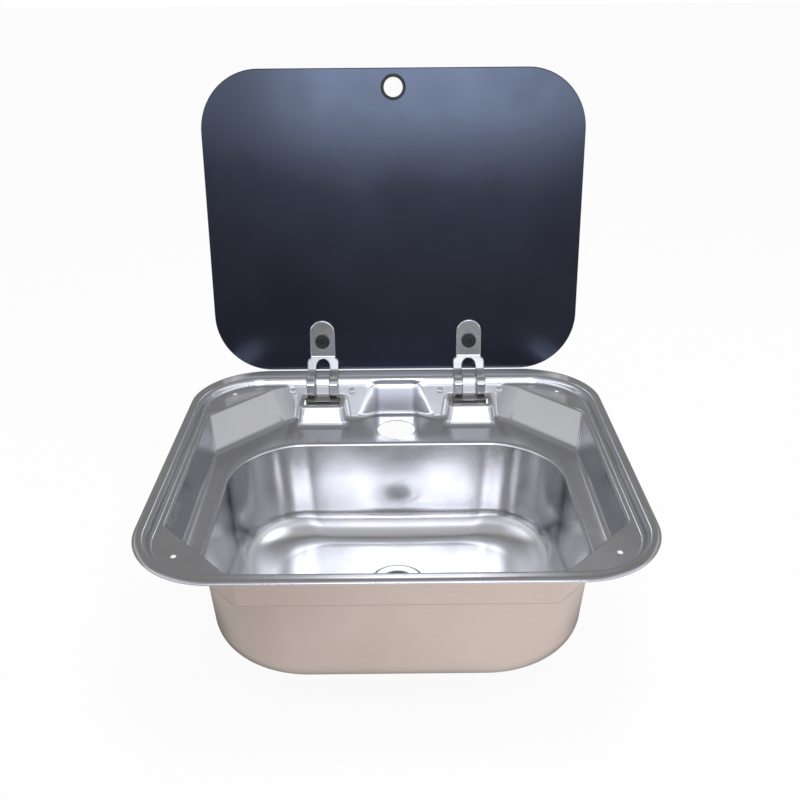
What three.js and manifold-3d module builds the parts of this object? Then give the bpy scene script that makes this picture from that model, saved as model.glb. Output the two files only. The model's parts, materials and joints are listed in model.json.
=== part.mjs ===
// A caravan sink pressed from one stainless sheet, with a tempered glass lid on two gooseneck hinges.
// Millimetres, +Z up, the front at -Y. The origin is the middle of the rim, on the worktop plane.
import * as THREE from "three";
import { mergeVertices } from "three/addons/utils/BufferGeometryUtils.js";
import Module from "manifold-3d";

const wasm = await Module();
wasm.setup();

// ---- Driving dimensions ----

// Rim
const rimWidth = 420;
const rimLength = 370;
const rimCorner = 73;
const rimRise = 3; // top of the rim above the worktop
const rimRoll = 5; // width of the rolled outer edge
const rimSide = 12;
const rimFront = 12;
const rimBack = 23;
const sheet = 0.8;

// Well that the closed lid drops into, and the narrow seat at its foot
const wellCorner = 58;
const wellFillet = 3;
const wellDraft = 1.5;
const seatDepth = 8;
const seatSide = 9;
const seatFront = 7;
const seatBack = 2;
const seatFrontCorner = 56; // seat left at a front corner, along the diagonal
const seatBackCorner = 54;
const seatLip = 1.2;
const bufferHoleRadius = 4.5;
const frontHoleInset = [25, 31]; // from the well's side and front
const backHoleInset = [27.5, 20];

// Recess: the walls run down to the tap deck
const frontDiagonal = -43.3; // degrees, the way the wall faces out
const backDiagonal = 44;
const deckDepth = 40;
const recessSideDraft = 7;
const recessBackDraft = 16;
const recessFrontDraft = 1;
const frontDiagonalDraft = 3;
const backDiagonalDraft = 21.5;
const recessCorner = 7;
const deckFillet = 4;
const tapHoleRadius = 19.8;
const tapHoleY = 120;

// Niche in the middle of the back wall
const nicheHalfWidth = 24;
const nicheFlare = 21; // how much wider its mouth is at the deck
const nicheDraft = 6;

// Bowl
const deckSide = 18; // deck left beside the bowl
const deckFront = 3;
const deckBack = 52;
const bowlDepth = 144;
const bowlCorner = 72;
const floorCorner = 70;
const bowlLip = 3;
const bowlDraft = 4; // degrees
const floorFillet = 44;
const floorFall = 2; // from the fillet down to the drain

// Drain
const drainY = -4;
const drainSeatRadius = 26.5;
const drainSeatDepth = 1.6;
const drainHoleRadius = 20;
const drainLedge = 3; // level floor round the drain's seat

// Glass lid, measured where it lies closed
const glassThickness = 5;
const glassCorner = 60;
const glassSideGap = 4;
const glassFrontGap = 3.2;
const glassBackGap = 24.3;
const glassDrop = 0.56; // top of the closed glass below the top of the rim
const fingerHoleInset = 18;
const fingerHoleRadius = 11.1;
const grommetRadius = 12.5;
const grommetBore = 9.5;
const grommetFlange = 1.4;
const grommetRound = 0.5;

// Hinges
const hingeSpacing = 158;
const openAngle = 98.7; // degrees that the lid opens
const pivotBehindWell = 2;
const pivotDepth = 22; // below the top of the rim
const strapThickness = 3;
const strapWidth = 33.4;
const strapGap = 14.6; // between the two legs
const strapBend = 5.6; // inside the strap's bends, at the middle of its thickness
const armReach = 14.5; // from the pin forward to the rising leg
const armRun = 9; // from the pin back to where the strap turns up to the glass
const eyeRadius = 5;
const tongueWidth = 26.6;
const tongueStart = 15.4; // from the glass's back edge line to the bend
const tongueEnd = 55.6;
const tongueShoulder = 4;
const tongueSet = 1; // from the bend to the shoulders
const archSet = 2; // from the bend to the arch
const webFront = 1.6;
const webLength = 8.5;
const pinRadius = 3;
const pinHeadRadius = 5;
const pinHeadLength = 1.2;
const pinTail = 2.2; // beyond the clip
const clipRadius = 5.4;
const clipThickness = 0.9;
const clipNeck = 2.3;
const clipPlay = 0.15;
const clipMouth = 68; // degrees
const sleeveRadius = 4.6;
const cheekThickness = 1.5;
const cheekHeight = 26;
const cheekShoulder = 4;
const stopHeight = 7;
const rivetSpacing = 63;
const rivetDepth = 13.5;
const rivetRadius = 2;
const rivetHeadRadius = 3.4;
const rivetHeadHeight = 1.6;
const rivetTail = 1.2;
const rivetTailRadius = 2.8;
const earEnd = 6.2; // from the rivet to the end of the ear
const earHeight = 9.4;
const earCorner = 2.5;

// Lid clamps
const clampFromEdge = 33;
const clampShankRadius = 3;
const clampHeadRadius = 7.9;
const clampHeadHeight = 3.4;
const clampHeadChamfer = 0.9;
const clampSocket = 5; // across the flats
const clampSocketFloor = 1.2;
const padThickness = 0.8;
const padInset = 0.8;
const padSet = 4; // from the strap's bend to the pad
const glassHoleRadius = 5.2;
const bushFlange = 1;
const bushFlangeRadius = 9.5;
const capRadius = 9;
const capHeight = 4.2;
const capRound = 1.6;
const capRoof = 1.2;

// Hinge bosses on the deck
const bossTopDepth = 19; // below the top of the rim
const bossHalfWidth = 23.5;
const bossSpread = 3.8; // wider at the deck, on each side
const bossLean = 5.5; // the front face leans back this much
const bossEdge = 1.6;
const bossCorner = 4;
const slotHalfWidth = 21;
const slotLip = 3;
const slotCorner = 3;
const slotBackGap = 1.5;

// Waste
const wasteFlangeRadius = 25;
const wasteThroat = 17;
const wasteDish = 5;
const wasteSheet = 1.2;
const wasteLip = 1; // rounding of the flange's edges
const wasteLedge = 3; // carries the strainer's bars
const wasteTaper = 0.6;
const wasteBars = 6;
const wasteBarWidth = 2.4;
const wasteHub = 5;
const wasteSeal = 1; // sealing ring under the flange
const gasketRadius = 25;
const gasketThickness = 2.4;
const wasteBodyRadius = 27;
const wasteBodyWall = 2.6;
const wasteBodyDepth = 17;
const spigotRadius = 12.5;
const spigotBore = 10;
const spigotLength = 21;
const spigotBarbs = 2;
const barbPitch = 9;
const barbLength = 4;
const barbRise = 1;
const barbStep = 0.6;
const wasteScrewRadius = 2.5;
const wasteScrewHead = 4.4;
const wasteScrewHeadHeight = 2.2;
const wasteScrewLength = 16; // with its head
const wasteSlotWidth = 1;
const wasteSlotDepth = 1;
const wastePostWall = 2.3;
const wasteRibWidth = 4;
const wasteRibHeight = 7;
const wasteCollar = 3; // height of the body's collar under the gasket
const wasteShoulder = 2; // how far the collar stands out
const wasteBevel = 6;

// Clearances
const gap = 0.3; // between pieces that touch
const running = 0.5; // between a leg and its cheek
const swing = 1.1; // round the swinging legs

// ---- Places worked out from them ----

const wellHalf = rimWidth / 2 - rimSide;
const wellFrontY = -(rimLength / 2 - rimFront);
const wellBackY = rimLength / 2 - rimBack;
const level = (depth) => rimRise - depth; // height of a depth below the top of the rim
const open = THREE.MathUtils.degToRad(openAngle);
const pivot = new THREE.Vector3(0, wellBackY + pivotBehindWell, level(pivotDepth));
const bore = pinRadius + gap;
const bite = 1; // how far joined bodies reach into each other, and cutters past a face

// Facets round a full circle, by the size of what is turned
const FINE = 32;
const MEDIUM = 20;
const SMALL = 16;
const TINY = 12;

// ---- Solids: closed geometries in, manifold solids out ----

function solid(geometry) {
  const bare = geometry.index ? geometry.toNonIndexed() : geometry.clone();
  bare.deleteAttribute("normal");
  bare.deleteAttribute("uv");
  const merged = mergeVertices(bare, 1e-4);
  return new wasm.Manifold(
    new wasm.Mesh({
      numProp: 3,
      vertProperties: merged.attributes.position.array,
      triVerts: new Uint32Array(merged.index.array),
    }),
  );
}

const union = (solids) => solids.reduce((whole, piece) => whole.add(piece));

function geometryOf(made) {
  const { vertProperties, triVerts } = made.getMesh();
  return new THREE.BufferGeometry()
    .setAttribute("position", new THREE.BufferAttribute(vertProperties, 3))
    .setIndex(new THREE.BufferAttribute(triVerts, 1))
    .toNonIndexed();
}

// Joins rings of equal length into one closed skin, from the lowest ring up.
function loft(rings) {
  const count = rings[0].points.length;
  const positions = rings.flatMap(({ points, z }) => points.flatMap((p) => [p.x, p.y, z]));
  const faces = [];
  for (let ring = 0; ring < rings.length - 1; ring += 1) {
    for (let i = 0; i < count; i += 1) {
      const a = ring * count + i;
      const b = ring * count + ((i + 1) % count);
      faces.push(a, b, b + count, a, b + count, a + count);
    }
  }
  const top = (rings.length - 1) * count;
  for (const [a, b, c] of THREE.ShapeUtils.triangulateShape(rings[0].points, [])) {
    faces.push(c, b, a);
  }
  for (const [a, b, c] of THREE.ShapeUtils.triangulateShape(rings.at(-1).points, [])) {
    faces.push(top + a, top + b, top + c);
  }
  return solid(
    new THREE.BufferGeometry()
      .setAttribute("position", new THREE.Float32BufferAttribute(positions, 3))
      .setIndex(faces),
  );
}

// A convex outline, anticlockwise, whose sides lie at given distances from the origin.
// Each side is { angle, distance } with the angle in degrees, and each corner is an arc.
function facetOutline(sides, radius, steps) {
  const lines = sides.map(({ angle, distance }) => {
    const turn = THREE.MathUtils.degToRad(angle);
    return { turn, normal: new THREE.Vector2(Math.cos(turn), Math.sin(turn)), distance };
  });
  return lines.flatMap((line, i) => {
    const next = lines[(i + 1) % lines.length];
    const centre = crossing(line, next, radius);
    const sweep = THREE.MathUtils.euclideanModulo(next.turn - line.turn, 2 * Math.PI);
    return Array.from({ length: steps + 1 }, (_, step) => {
      const turn = line.turn + (sweep * step) / steps;
      return new THREE.Vector2(Math.cos(turn), Math.sin(turn)).multiplyScalar(radius).add(centre);
    });
  });
}

// Where two sides cross once both are moved in by the corner's radius.
function crossing(first, second, radius) {
  const a = first.distance - radius;
  const b = second.distance - radius;
  const cross = first.normal.cross(second.normal);
  return new THREE.Vector2(
    (a * second.normal.y - b * first.normal.y) / cross,
    (b * first.normal.x - a * second.normal.x) / cross,
  );
}

// A rounded rectangle, given by its four reaches from the origin.
function boxOutline({ side, front, back }, radius, steps) {
  return facetOutline(
    [
      { angle: 0, distance: side },
      { angle: 90, distance: back },
      { angle: 180, distance: side },
      { angle: 270, distance: front },
    ],
    radius,
    steps,
  );
}

const grown = (reach, by) => ({
  side: reach.side + by,
  front: reach.front + by,
  back: reach.back + by,
});

// A solid of revolution about +Z from a closed profile of [radius, height] pairs.
function revolve(profile, segments) {
  const points = profile.map(([radius, height]) => new THREE.Vector2(radius, height));
  if (points[0].x > 0 || points.at(-1).x > 0) points.push(points[0].clone());
  return solid(new THREE.LatheGeometry(points, segments).rotateX(Math.PI / 2));
}

const disc = (radius, low, high, segments) =>
  revolve(
    [
      [0, low],
      [radius, low],
      [radius, high],
      [0, high],
    ],
    segments,
  );

// A shape drawn in the (x, y) plane, made into a plate from one height to another.
function plate(points, low, high) {
  const made = new THREE.ExtrudeGeometry(new THREE.Shape(points), {
    depth: high - low,
    bevelEnabled: false,
  });
  return solid(made.translate(0, 0, low));
}

// Turns a solid drawn in (x, y, z) so that its x, y and z run along Y, Z and X.
const sideways = (made) => moved(made, new THREE.Matrix4().makeBasis(
  new THREE.Vector3(0, 1, 0),
  new THREE.Vector3(0, 0, 1),
  new THREE.Vector3(1, 0, 0),
));

const moved = (made, matrix) => made.transform(matrix.elements);
const shifted = (made, x, y, z) => made.translate([x, y, z]);
const mirrored = (made) => moved(made, new THREE.Matrix4().makeScale(-1, 1, 1));

// A side view in (y, z), made as wide as asked along X, about a middle.
function sideProfile(points, width, middle = 0) {
  return shifted(sideways(plate(points, -width / 2, width / 2)), middle, 0, 0);
}

// ---- Sink pressing ----

const CORNER_STEPS = 7;
const wellReach = { side: wellHalf, front: -wellFrontY, back: wellBackY };

function rimSolid(by) {
  const reach = { side: rimWidth / 2, front: rimLength / 2, back: rimLength / 2 };
  const roll = 4;
  const rings = [{ points: boxOutline(grown(reach, -by), rimCorner - by, CORNER_STEPS), z: 0 }];
  for (let i = 1; i <= roll; i += 1) {
    const turn = (i / roll) * (Math.PI / 2);
    const inset = rimRoll * (1 - Math.cos(turn)) + by;
    const z = (rimRise - by) * Math.sin(turn);
    rings.push({ points: boxOutline(grown(reach, -inset), rimCorner - inset, CORNER_STEPS), z });
  }
  return loft(rings);
}

// The space that the closed lid drops into, grown by the sheet for its outside.
function wellSolid(by) {
  const steps = 4;
  const ring = (inset, depth) => ({
    points: boxOutline(grown(wellReach, by - inset), wellCorner + by - inset, CORNER_STEPS),
    z: level(depth),
  });
  const rings = [ring(wellDraft, seatDepth + by), ring(0, wellFillet)];
  for (let i = 1; i <= steps; i += 1) {
    const turn = (i / steps) * (Math.PI / 2);
    rings.push(ring(-wellFillet * (1 - Math.cos(turn)), wellFillet * (1 - Math.sin(turn))));
  }
  if (by === 0) rings.push(ring(-wellFillet, -bite));
  return loft(rings);
}

// The eight walls below the seat. drop runs from 0 at the seat to 1 at the deck.
function recessSides(drop, by) {
  const side = wellHalf - seatSide - recessSideDraft * drop + by;
  const diagonal = (angle, edge, seat, draft) => {
    const turn = THREE.MathUtils.degToRad(angle);
    const corner = wellHalf * Math.cos(turn) + edge * Math.sin(turn);
    return corner - seat - draft * drop + by;
  };
  const back = diagonal(backDiagonal, wellBackY, seatBackCorner, backDiagonalDraft);
  const front = diagonal(frontDiagonal, wellFrontY, seatFrontCorner, frontDiagonalDraft);
  return [
    { angle: 0, distance: side },
    { angle: backDiagonal, distance: back },
    { angle: 90, distance: wellBackY - seatBack - recessBackDraft * drop + by },
    { angle: 180 - backDiagonal, distance: back },
    { angle: 180, distance: side },
    { angle: 180 - frontDiagonal, distance: front },
    { angle: 270, distance: -wellFrontY - seatFront - recessFrontDraft * drop + by },
    { angle: 360 + frontDiagonal, distance: front },
  ];
}

const backWallTilt = Math.atan2(recessBackDraft, deckDepth - seatDepth);
const backWallY = (depth) =>
  wellBackY - seatBack - (recessBackDraft * (depth - seatDepth)) / (deckDepth - seatDepth);

function recessSolid(by) {
  const steps = 3;
  const fall = deckDepth - seatDepth;
  const ring = (inset, depth) => ({
    points: facetOutline(recessSides((depth - seatDepth) / fall, by - inset), recessCorner + by, 3),
    z: level(depth),
  });
  const rings = [];
  for (let i = 0; i < steps; i += 1) {
    const turn = (i / steps) * (Math.PI / 2);
    const inset = deckFillet * (1 - Math.sin(turn));
    rings.push(ring(inset, deckDepth + by - deckFillet * (1 - Math.cos(turn))));
  }
  rings.push(ring(0, deckDepth + by - deckFillet), ring(0, seatDepth + seatLip));
  rings.push(ring(-seatLip, seatDepth));
  if (by === 0) rings.push(ring(-seatLip, seatDepth - seatLip));
  return loft(rings);
}

function nicheSolid(by) {
  const ring = (drop, depth) => {
    const half = nicheHalfWidth + by;
    const mouth = half + nicheFlare * drop;
    const back = wellBackY - seatBack - nicheDraft * drop + by;
    const front = back - (recessBackDraft - nicheDraft) * drop - recessCorner;
    const points = [
      [-half, back],
      [-mouth, front],
      [mouth, front],
      [half, back],
    ];
    return { points: points.map(([x, y]) => new THREE.Vector2(x, y)), z: level(depth) };
  };
  return loft([ring(1, deckDepth + by), ring(0, seatDepth)]);
}

const bowlFrontReach = -wellFrontY - seatFront - recessFrontDraft - deckFront;
const bowlReach = {
  side: wellHalf - seatSide - recessSideDraft - deckSide,
  front: bowlFrontReach,
  back: wellBackY - seatBack - recessBackDraft - deckBack,
};

// The wall's foot turns into the floor, which then falls to the level ledge round the drain.
function bowlSolid(by) {
  const draft = Math.tan(THREE.MathUtils.degToRad(bowlDraft));
  const floor = bowlDepth - floorFall + by;
  const filletTop = floor - floorFillet;
  const wallFoot = bowlLip + draft * (filletTop - deckDepth - bowlLip);
  const ring = (inset, depth) => {
    const share = inset / (wallFoot + floorFillet);
    const corner = THREE.MathUtils.lerp(bowlCorner, floorCorner, share) + by;
    return { points: boxOutline(grown(bowlReach, by - inset), corner, CORNER_STEPS), z: level(depth) };
  };
  const drain = drainSeatRadius + drainLedge + by;
  const almost = drain - gap; // a full circle would have corners that share points
  const ledge = { side: drain, front: drain - drainY, back: drain + drainY };
  const rings = [{ points: boxOutline(ledge, almost, CORNER_STEPS), z: level(bowlDepth + by) }];
  const steps = 5;
  for (let i = 0; i < steps; i += 1) {
    const turn = (i / steps) * (Math.PI / 2);
    rings.push(
      ring(wallFoot + floorFillet * (1 - Math.sin(turn)), floor - floorFillet * (1 - Math.cos(turn))),
    );
  }
  rings.push(ring(wallFoot, filletTop), ring(bowlLip, deckDepth + bowlLip));
  rings.push(ring(bowlLip * Math.SQRT1_2, deckDepth + bowlLip * (1 - Math.SQRT1_2)));
  rings.push(ring(0, deckDepth));
  if (by === 0) rings.push(ring(0, deckDepth - bite));
  return loft(rings);
}

// The round seat of the waste flange.
function drainSeat(by) {
  const low = level(bowlDepth + drainSeatDepth + by);
  return shifted(disc(drainSeatRadius + by, low, level(bowlDepth - bite), FINE), 0, drainY, 0);
}

// Reach of a leg's outer bend round the pin.
const armRise = pivotDepth + gap + strapThickness / 2;
const armSwing =
  Math.hypot(armReach - strapBend, armRise - strapBend) + strapBend + strapThickness / 2;
const slotFrontY = pivot.y - armSwing - swing;
const slotBackY = backWallY(bossTopDepth) - slotBackGap;
const bossTopY = slotFrontY - slotLip;

function bossSolid(by, x) {
  const ring = (spread, lean, inset, depth) => {
    const half = bossHalfWidth + spread - by - inset;
    const front = bossTopY - lean + by + inset;
    const outline = boxOutline(
      { side: half, front: (wellBackY - front) / 2, back: (wellBackY - front) / 2 },
      bossCorner,
      3,
    );
    const middle = (wellBackY + front) / 2;
    const points = outline.map((p) => new THREE.Vector2(p.x + x, p.y + middle));
    return { points, z: level(depth) };
  };
  const rise = deckDepth - bossTopDepth;
  const foot = 2 * bite;
  return loft([
    ring(bossSpread * (1 + foot / rise), bossLean * (1 + foot / rise), 0, deckDepth + foot),
    ring((bossSpread * bossEdge) / rise, (bossLean * bossEdge) / rise, 0, bossTopDepth + bossEdge + by),
    ring(0, 0, bossEdge * (1 - Math.SQRT1_2), bossTopDepth + bossEdge * (1 - Math.SQRT1_2) + by),
    ring(0, 0, bossEdge, bossTopDepth + by),
  ]);
}

const hingeX = [-hingeSpacing / 2, hingeSpacing / 2];

function tubSolid(by) {
  const bosses = union(hingeX.map((x) => bossSolid(by, x)));
  const upper = union([recessSolid(by), nicheSolid(by)]).subtract(bosses);
  return union([wellSolid(by), upper, bowlSolid(by), drainSeat(by)]);
}

// The slots in the boss tops that the hinge legs swing through.
function slotCutter(x) {
  const middle = (slotFrontY + slotBackY) / 2;
  const half = (slotBackY - slotFrontY) / 2;
  const outline = boxOutline({ side: slotHalfWidth, front: half, back: half }, slotCorner, 3);
  const cutter = plate(outline, level(bossTopDepth + 2 * sheet), level(bossTopDepth - sheet));
  return shifted(cutter, x, middle, 0);
}

const bufferHoles = [-1, 1].flatMap((side) => [
  [side * (wellHalf - frontHoleInset[0]), wellFrontY + frontHoleInset[1]],
  [side * (wellHalf - backHoleInset[0]), wellBackY - backHoleInset[1]],
]);

// Frame on the back wall: x across, y up the wall, z out of its rear face.
function onBackWall(x, depth) {
  const up = new THREE.Vector3(0, Math.sin(backWallTilt), Math.cos(backWallTilt));
  const rear = new THREE.Vector3(0, Math.cos(backWallTilt), -Math.sin(backWallTilt));
  return new THREE.Matrix4()
    .makeBasis(new THREE.Vector3(-1, 0, 0), up, rear)
    .setPosition(x, backWallY(depth), level(depth));
}

const rivetX = hingeX.flatMap((x) => [x - rivetSpacing / 2, x + rivetSpacing / 2]);

function sinkPressing() {
  const shell = rimSolid(0).subtract(rimSolid(sheet)).add(tubSolid(sheet)).subtract(tubSolid(0));
  const hole = (radius, depth, segments, x, y) => {
    const reach = drainSeatDepth + 2 * bite;
    return shifted(disc(radius, level(depth + reach), level(depth - reach), segments), x, y, 0);
  };
  const rivetHole = disc(rivetRadius + gap, -2 * bite, sheet + 2 * bite, TINY);
  const cutters = [
    hole(tapHoleRadius, deckDepth, FINE, 0, tapHoleY),
    hole(drainHoleRadius, bowlDepth, FINE, 0, drainY),
    ...bufferHoles.map(([x, y]) => hole(bufferHoleRadius, seatDepth, MEDIUM, x, y)),
    ...hingeX.map(slotCutter),
    ...rivetX.map((x) => moved(rivetHole, onBackWall(x, rivetDepth))),
  ];
  return cutters.reduce((made, cutter) => made.subtract(cutter), shell);
}

// ---- Lid, drawn closed about the pin: y and z are measured from the pin ----

const glassTop = pivotDepth - glassDrop;
const glassUnder = glassTop - glassThickness;
const glassReach = {
  side: wellHalf - glassSideGap,
  front: pivot.y - (wellFrontY + glassFrontGap),
  back: -(pivot.y - (wellBackY - glassBackGap)),
};
// Where the open glass's underside crosses the top of the rim. The strap's marks start there.
const lineY = (glassUnder * Math.cos(open) - pivotDepth) / Math.sin(open);
const clampY = lineY - clampFromEdge;
const fingerY = -glassReach.front + fingerHoleInset;

function glassLid() {
  const outline = boxOutline(glassReach, glassCorner, 14);
  const hole = (radius, x, y, segments) =>
    shifted(disc(radius, glassUnder - bite, glassTop + bite, segments), x, y, 0);
  return [
    hole(fingerHoleRadius, 0, fingerY, FINE),
    ...hingeX.map((x) => hole(glassHoleRadius, x, clampY, SMALL)),
  ].reduce(
    (made, cutter) => made.subtract(cutter),
    plate(outline, glassUnder, glassTop),
  );
}

function fingerGrommet() {
  const low = glassUnder - gap - grommetFlange;
  const high = glassTop + gap + grommetFlange;
  const neck = fingerHoleRadius - gap;
  const round = grommetRound;
  const profile = [
    [grommetBore, low + round],
    [grommetBore + round, low],
    [grommetRadius - round, low],
    [grommetRadius, low + round],
    [grommetRadius, low + grommetFlange],
    [neck, low + grommetFlange],
    [neck, high - grommetFlange],
    [grommetRadius, high - grommetFlange],
    [grommetRadius, high - round],
    [grommetRadius - round, high],
    [grommetBore + round, high],
    [grommetBore, high - round],
  ];
  return shifted(revolve(profile, FINE), 0, fingerY, 0);
}

// ---- Hinge strap: an eye on the pin, up through the boss, over the rim, and flat on the glass ----

// A path of straight runs whose corners are arcs, as points with their directions.
function bentPath(corners, radius) {
  const steps = 5;
  const path = [{ point: corners[0], turn: corners[1].clone().sub(corners[0]).angle() }];
  for (let i = 1; i < corners.length - 1; i += 1) {
    const before = corners[i].clone().sub(corners[i - 1]).normalize();
    const after = corners[i + 1].clone().sub(corners[i]).normalize();
    const bend = Math.atan2(before.cross(after), before.dot(after));
    const reach = radius * Math.tan(Math.abs(bend) / 2);
    const start = corners[i].clone().addScaledVector(before, -reach);
    const side = new THREE.Vector2(-before.y, before.x).multiplyScalar(Math.sign(bend));
    const centre = start.clone().addScaledVector(side, radius);
    for (let step = 0; step <= steps; step += 1) {
      const turned = (bend * step) / steps;
      const point = start.clone().rotateAround(centre, turned);
      path.push({ point, turn: before.angle() + turned });
    }
  }
  const last = corners.at(-1);
  path.push({ point: last, turn: last.clone().sub(corners.at(-2)).angle() });
  return path;
}

function band(path, thickness) {
  const offset = ({ point, turn }, by) =>
    new THREE.Vector2(point.x - Math.sin(turn) * by, point.y + Math.cos(turn) * by);
  const left = path.map((stop) => offset(stop, thickness / 2));
  const right = path.map((stop) => offset(stop, -thickness / 2));
  return [...right, ...left.reverse()];
}

const tongueTop = glassUnder - padThickness - 2 * gap;
const tongueMiddle = tongueTop - strapThickness / 2;

function strapPath() {
  const opened = [
    new THREE.Vector2(0, 0),
    new THREE.Vector2(-armReach, 0),
    new THREE.Vector2(-armReach, armRise),
    new THREE.Vector2(armRun, armRise),
  ].map((point) => point.rotateAround(new THREE.Vector2(), open));
  const bend = new THREE.Vector2(lineY - tongueStart, tongueMiddle);
  const end = new THREE.Vector2(lineY - tongueEnd - bite, tongueMiddle);
  return bentPath([...opened, bend, end], strapBend);
}

const strapFar = 2 * tongueEnd; // past every point of a strap

// The strap seen square to the glass: a round-ended tongue, then shoulders out to the legs.
function strapOutline() {
  const half = tongueWidth / 2;
  const tip = lineY - tongueEnd;
  const shape = new THREE.Shape();
  const shoulder = lineY - tongueStart + tongueSet;
  shape.moveTo(-strapWidth / 2, strapFar);
  shape.lineTo(-strapWidth / 2, shoulder + tongueShoulder);
  shape.quadraticCurveTo(-strapWidth / 2, shoulder, -half, shoulder);
  shape.lineTo(-half, tip + half);
  shape.absarc(0, tip + half, half, Math.PI, 2 * Math.PI, false);
  shape.lineTo(half, shoulder);
  shape.quadraticCurveTo(strapWidth / 2, shoulder, strapWidth / 2, shoulder + tongueShoulder);
  shape.lineTo(strapWidth / 2, strapFar);
  return shape.getPoints(7);
}

function archOutline() {
  const half = strapGap / 2;
  const top = lineY - tongueStart + archSet + half;
  const shape = new THREE.Shape();
  shape.moveTo(half, strapFar);
  shape.lineTo(-half, strapFar);
  shape.lineTo(-half, top);
  shape.absarc(0, top, half, Math.PI, 2 * Math.PI, false);
  return shape.getPoints(6);
}

function hingeStrap() {
  const eye = sideways(disc(eyeRadius, -strapWidth / 2, strapWidth / 2, MEDIUM));
  const strap = sideProfile(band(strapPath(), strapThickness), strapWidth).add(eye);
  const web = [
    [-armReach - webFront, -strapThickness / 2],
    [-armReach - webFront + webLength, -strapThickness / 2],
    [-armReach - webFront + webLength, strapThickness / 2],
    [-armReach - webFront, strapThickness / 2],
  ].map(([y, z]) => new THREE.Vector2(y, z).rotateAround(new THREE.Vector2(), open));
  return strap
    .intersect(plate(strapOutline(), -strapFar, strapFar))
    .subtract(plate(archOutline(), -strapFar, strapFar))
    .add(sideProfile(web, strapGap + 2 * bite))
    .subtract(sideways(disc(bore, -strapWidth, strapWidth, SMALL)))
    .subtract(shifted(disc(clampShankRadius + gap, -strapFar, strapFar, SMALL), 0, clampY, 0));
}

function bracketPad() {
  const half = tongueWidth / 2 - padInset;
  const tip = lineY - tongueEnd + padInset;
  const root = lineY - tongueStart - padSet;
  const shape = new THREE.Shape();
  shape.moveTo(-half, root);
  shape.lineTo(-half, tip + half);
  shape.absarc(0, tip + half, half, Math.PI, 2 * Math.PI, false);
  shape.lineTo(half, root);
  const pad = plate(shape.getPoints(8), glassUnder - gap - padThickness, glassUnder - gap);
  const hole = disc(clampShankRadius + gap, tongueTop - bite, glassUnder + bite, SMALL);
  return pad.subtract(shifted(hole, 0, clampY, 0));
}

// Stack of the clamp along its own axis, from the screw head below the strap to the cap above.
const strapBottom = tongueTop - strapThickness;
const bushTop = glassTop + gap + bushFlange;
const capTop = bushTop + gap + capHeight;

function clampScrew() {
  const head = strapBottom - gap;
  const tip = capTop - capRoof - gap;
  const made = revolve(
    [
      [0, head - clampHeadHeight],
      [clampHeadRadius - clampHeadChamfer, head - clampHeadHeight],
      [clampHeadRadius, head - clampHeadHeight + clampHeadChamfer],
      [clampHeadRadius, head],
      [clampShankRadius, head],
      [clampShankRadius, tip],
      [0, tip],
    ],
    MEDIUM,
  );
  const across = clampSocket / Math.sqrt(3);
  const socket = disc(across, head - clampHeadHeight - bite, head - clampSocketFloor, 6);
  return shifted(made.subtract(socket), 0, clampY, 0);
}

function clampBush() {
  const inner = clampShankRadius + gap;
  const neck = glassHoleRadius - gap;
  return shifted(
    revolve(
      [
        [inner, glassUnder + gap],
        [neck, glassUnder + gap],
        [neck, glassTop + gap],
        [bushFlangeRadius, glassTop + gap],
        [bushFlangeRadius, bushTop],
        [inner, bushTop],
      ],
      MEDIUM,
    ),
    0,
    clampY,
    0,
  );
}

function clampCap() {
  const low = bushTop + gap;
  const inner = clampShankRadius + gap;
  const steps = 3;
  const profile = [
    [inner, low],
    [capRadius, low],
    [capRadius, capTop - capRound],
  ];
  for (let i = 1; i <= steps; i += 1) {
    const turn = (i / steps) * (Math.PI / 2);
    const reach = capRadius - capRound * (1 - Math.cos(turn));
    profile.push([reach, capTop - capRound * (1 - Math.sin(turn))]);
  }
  profile.push([0, capTop], [0, capTop - capRoof], [inner, capTop - capRoof]);
  return shifted(revolve(profile, MEDIUM), 0, clampY, 0);
}

// ---- Fixed side of each hinge ----

const cheekInner = strapWidth / 2 + running;
const cheekOuter = cheekInner + cheekThickness;
const wallNormal = sheet * Math.cos(backWallTilt);

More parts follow.
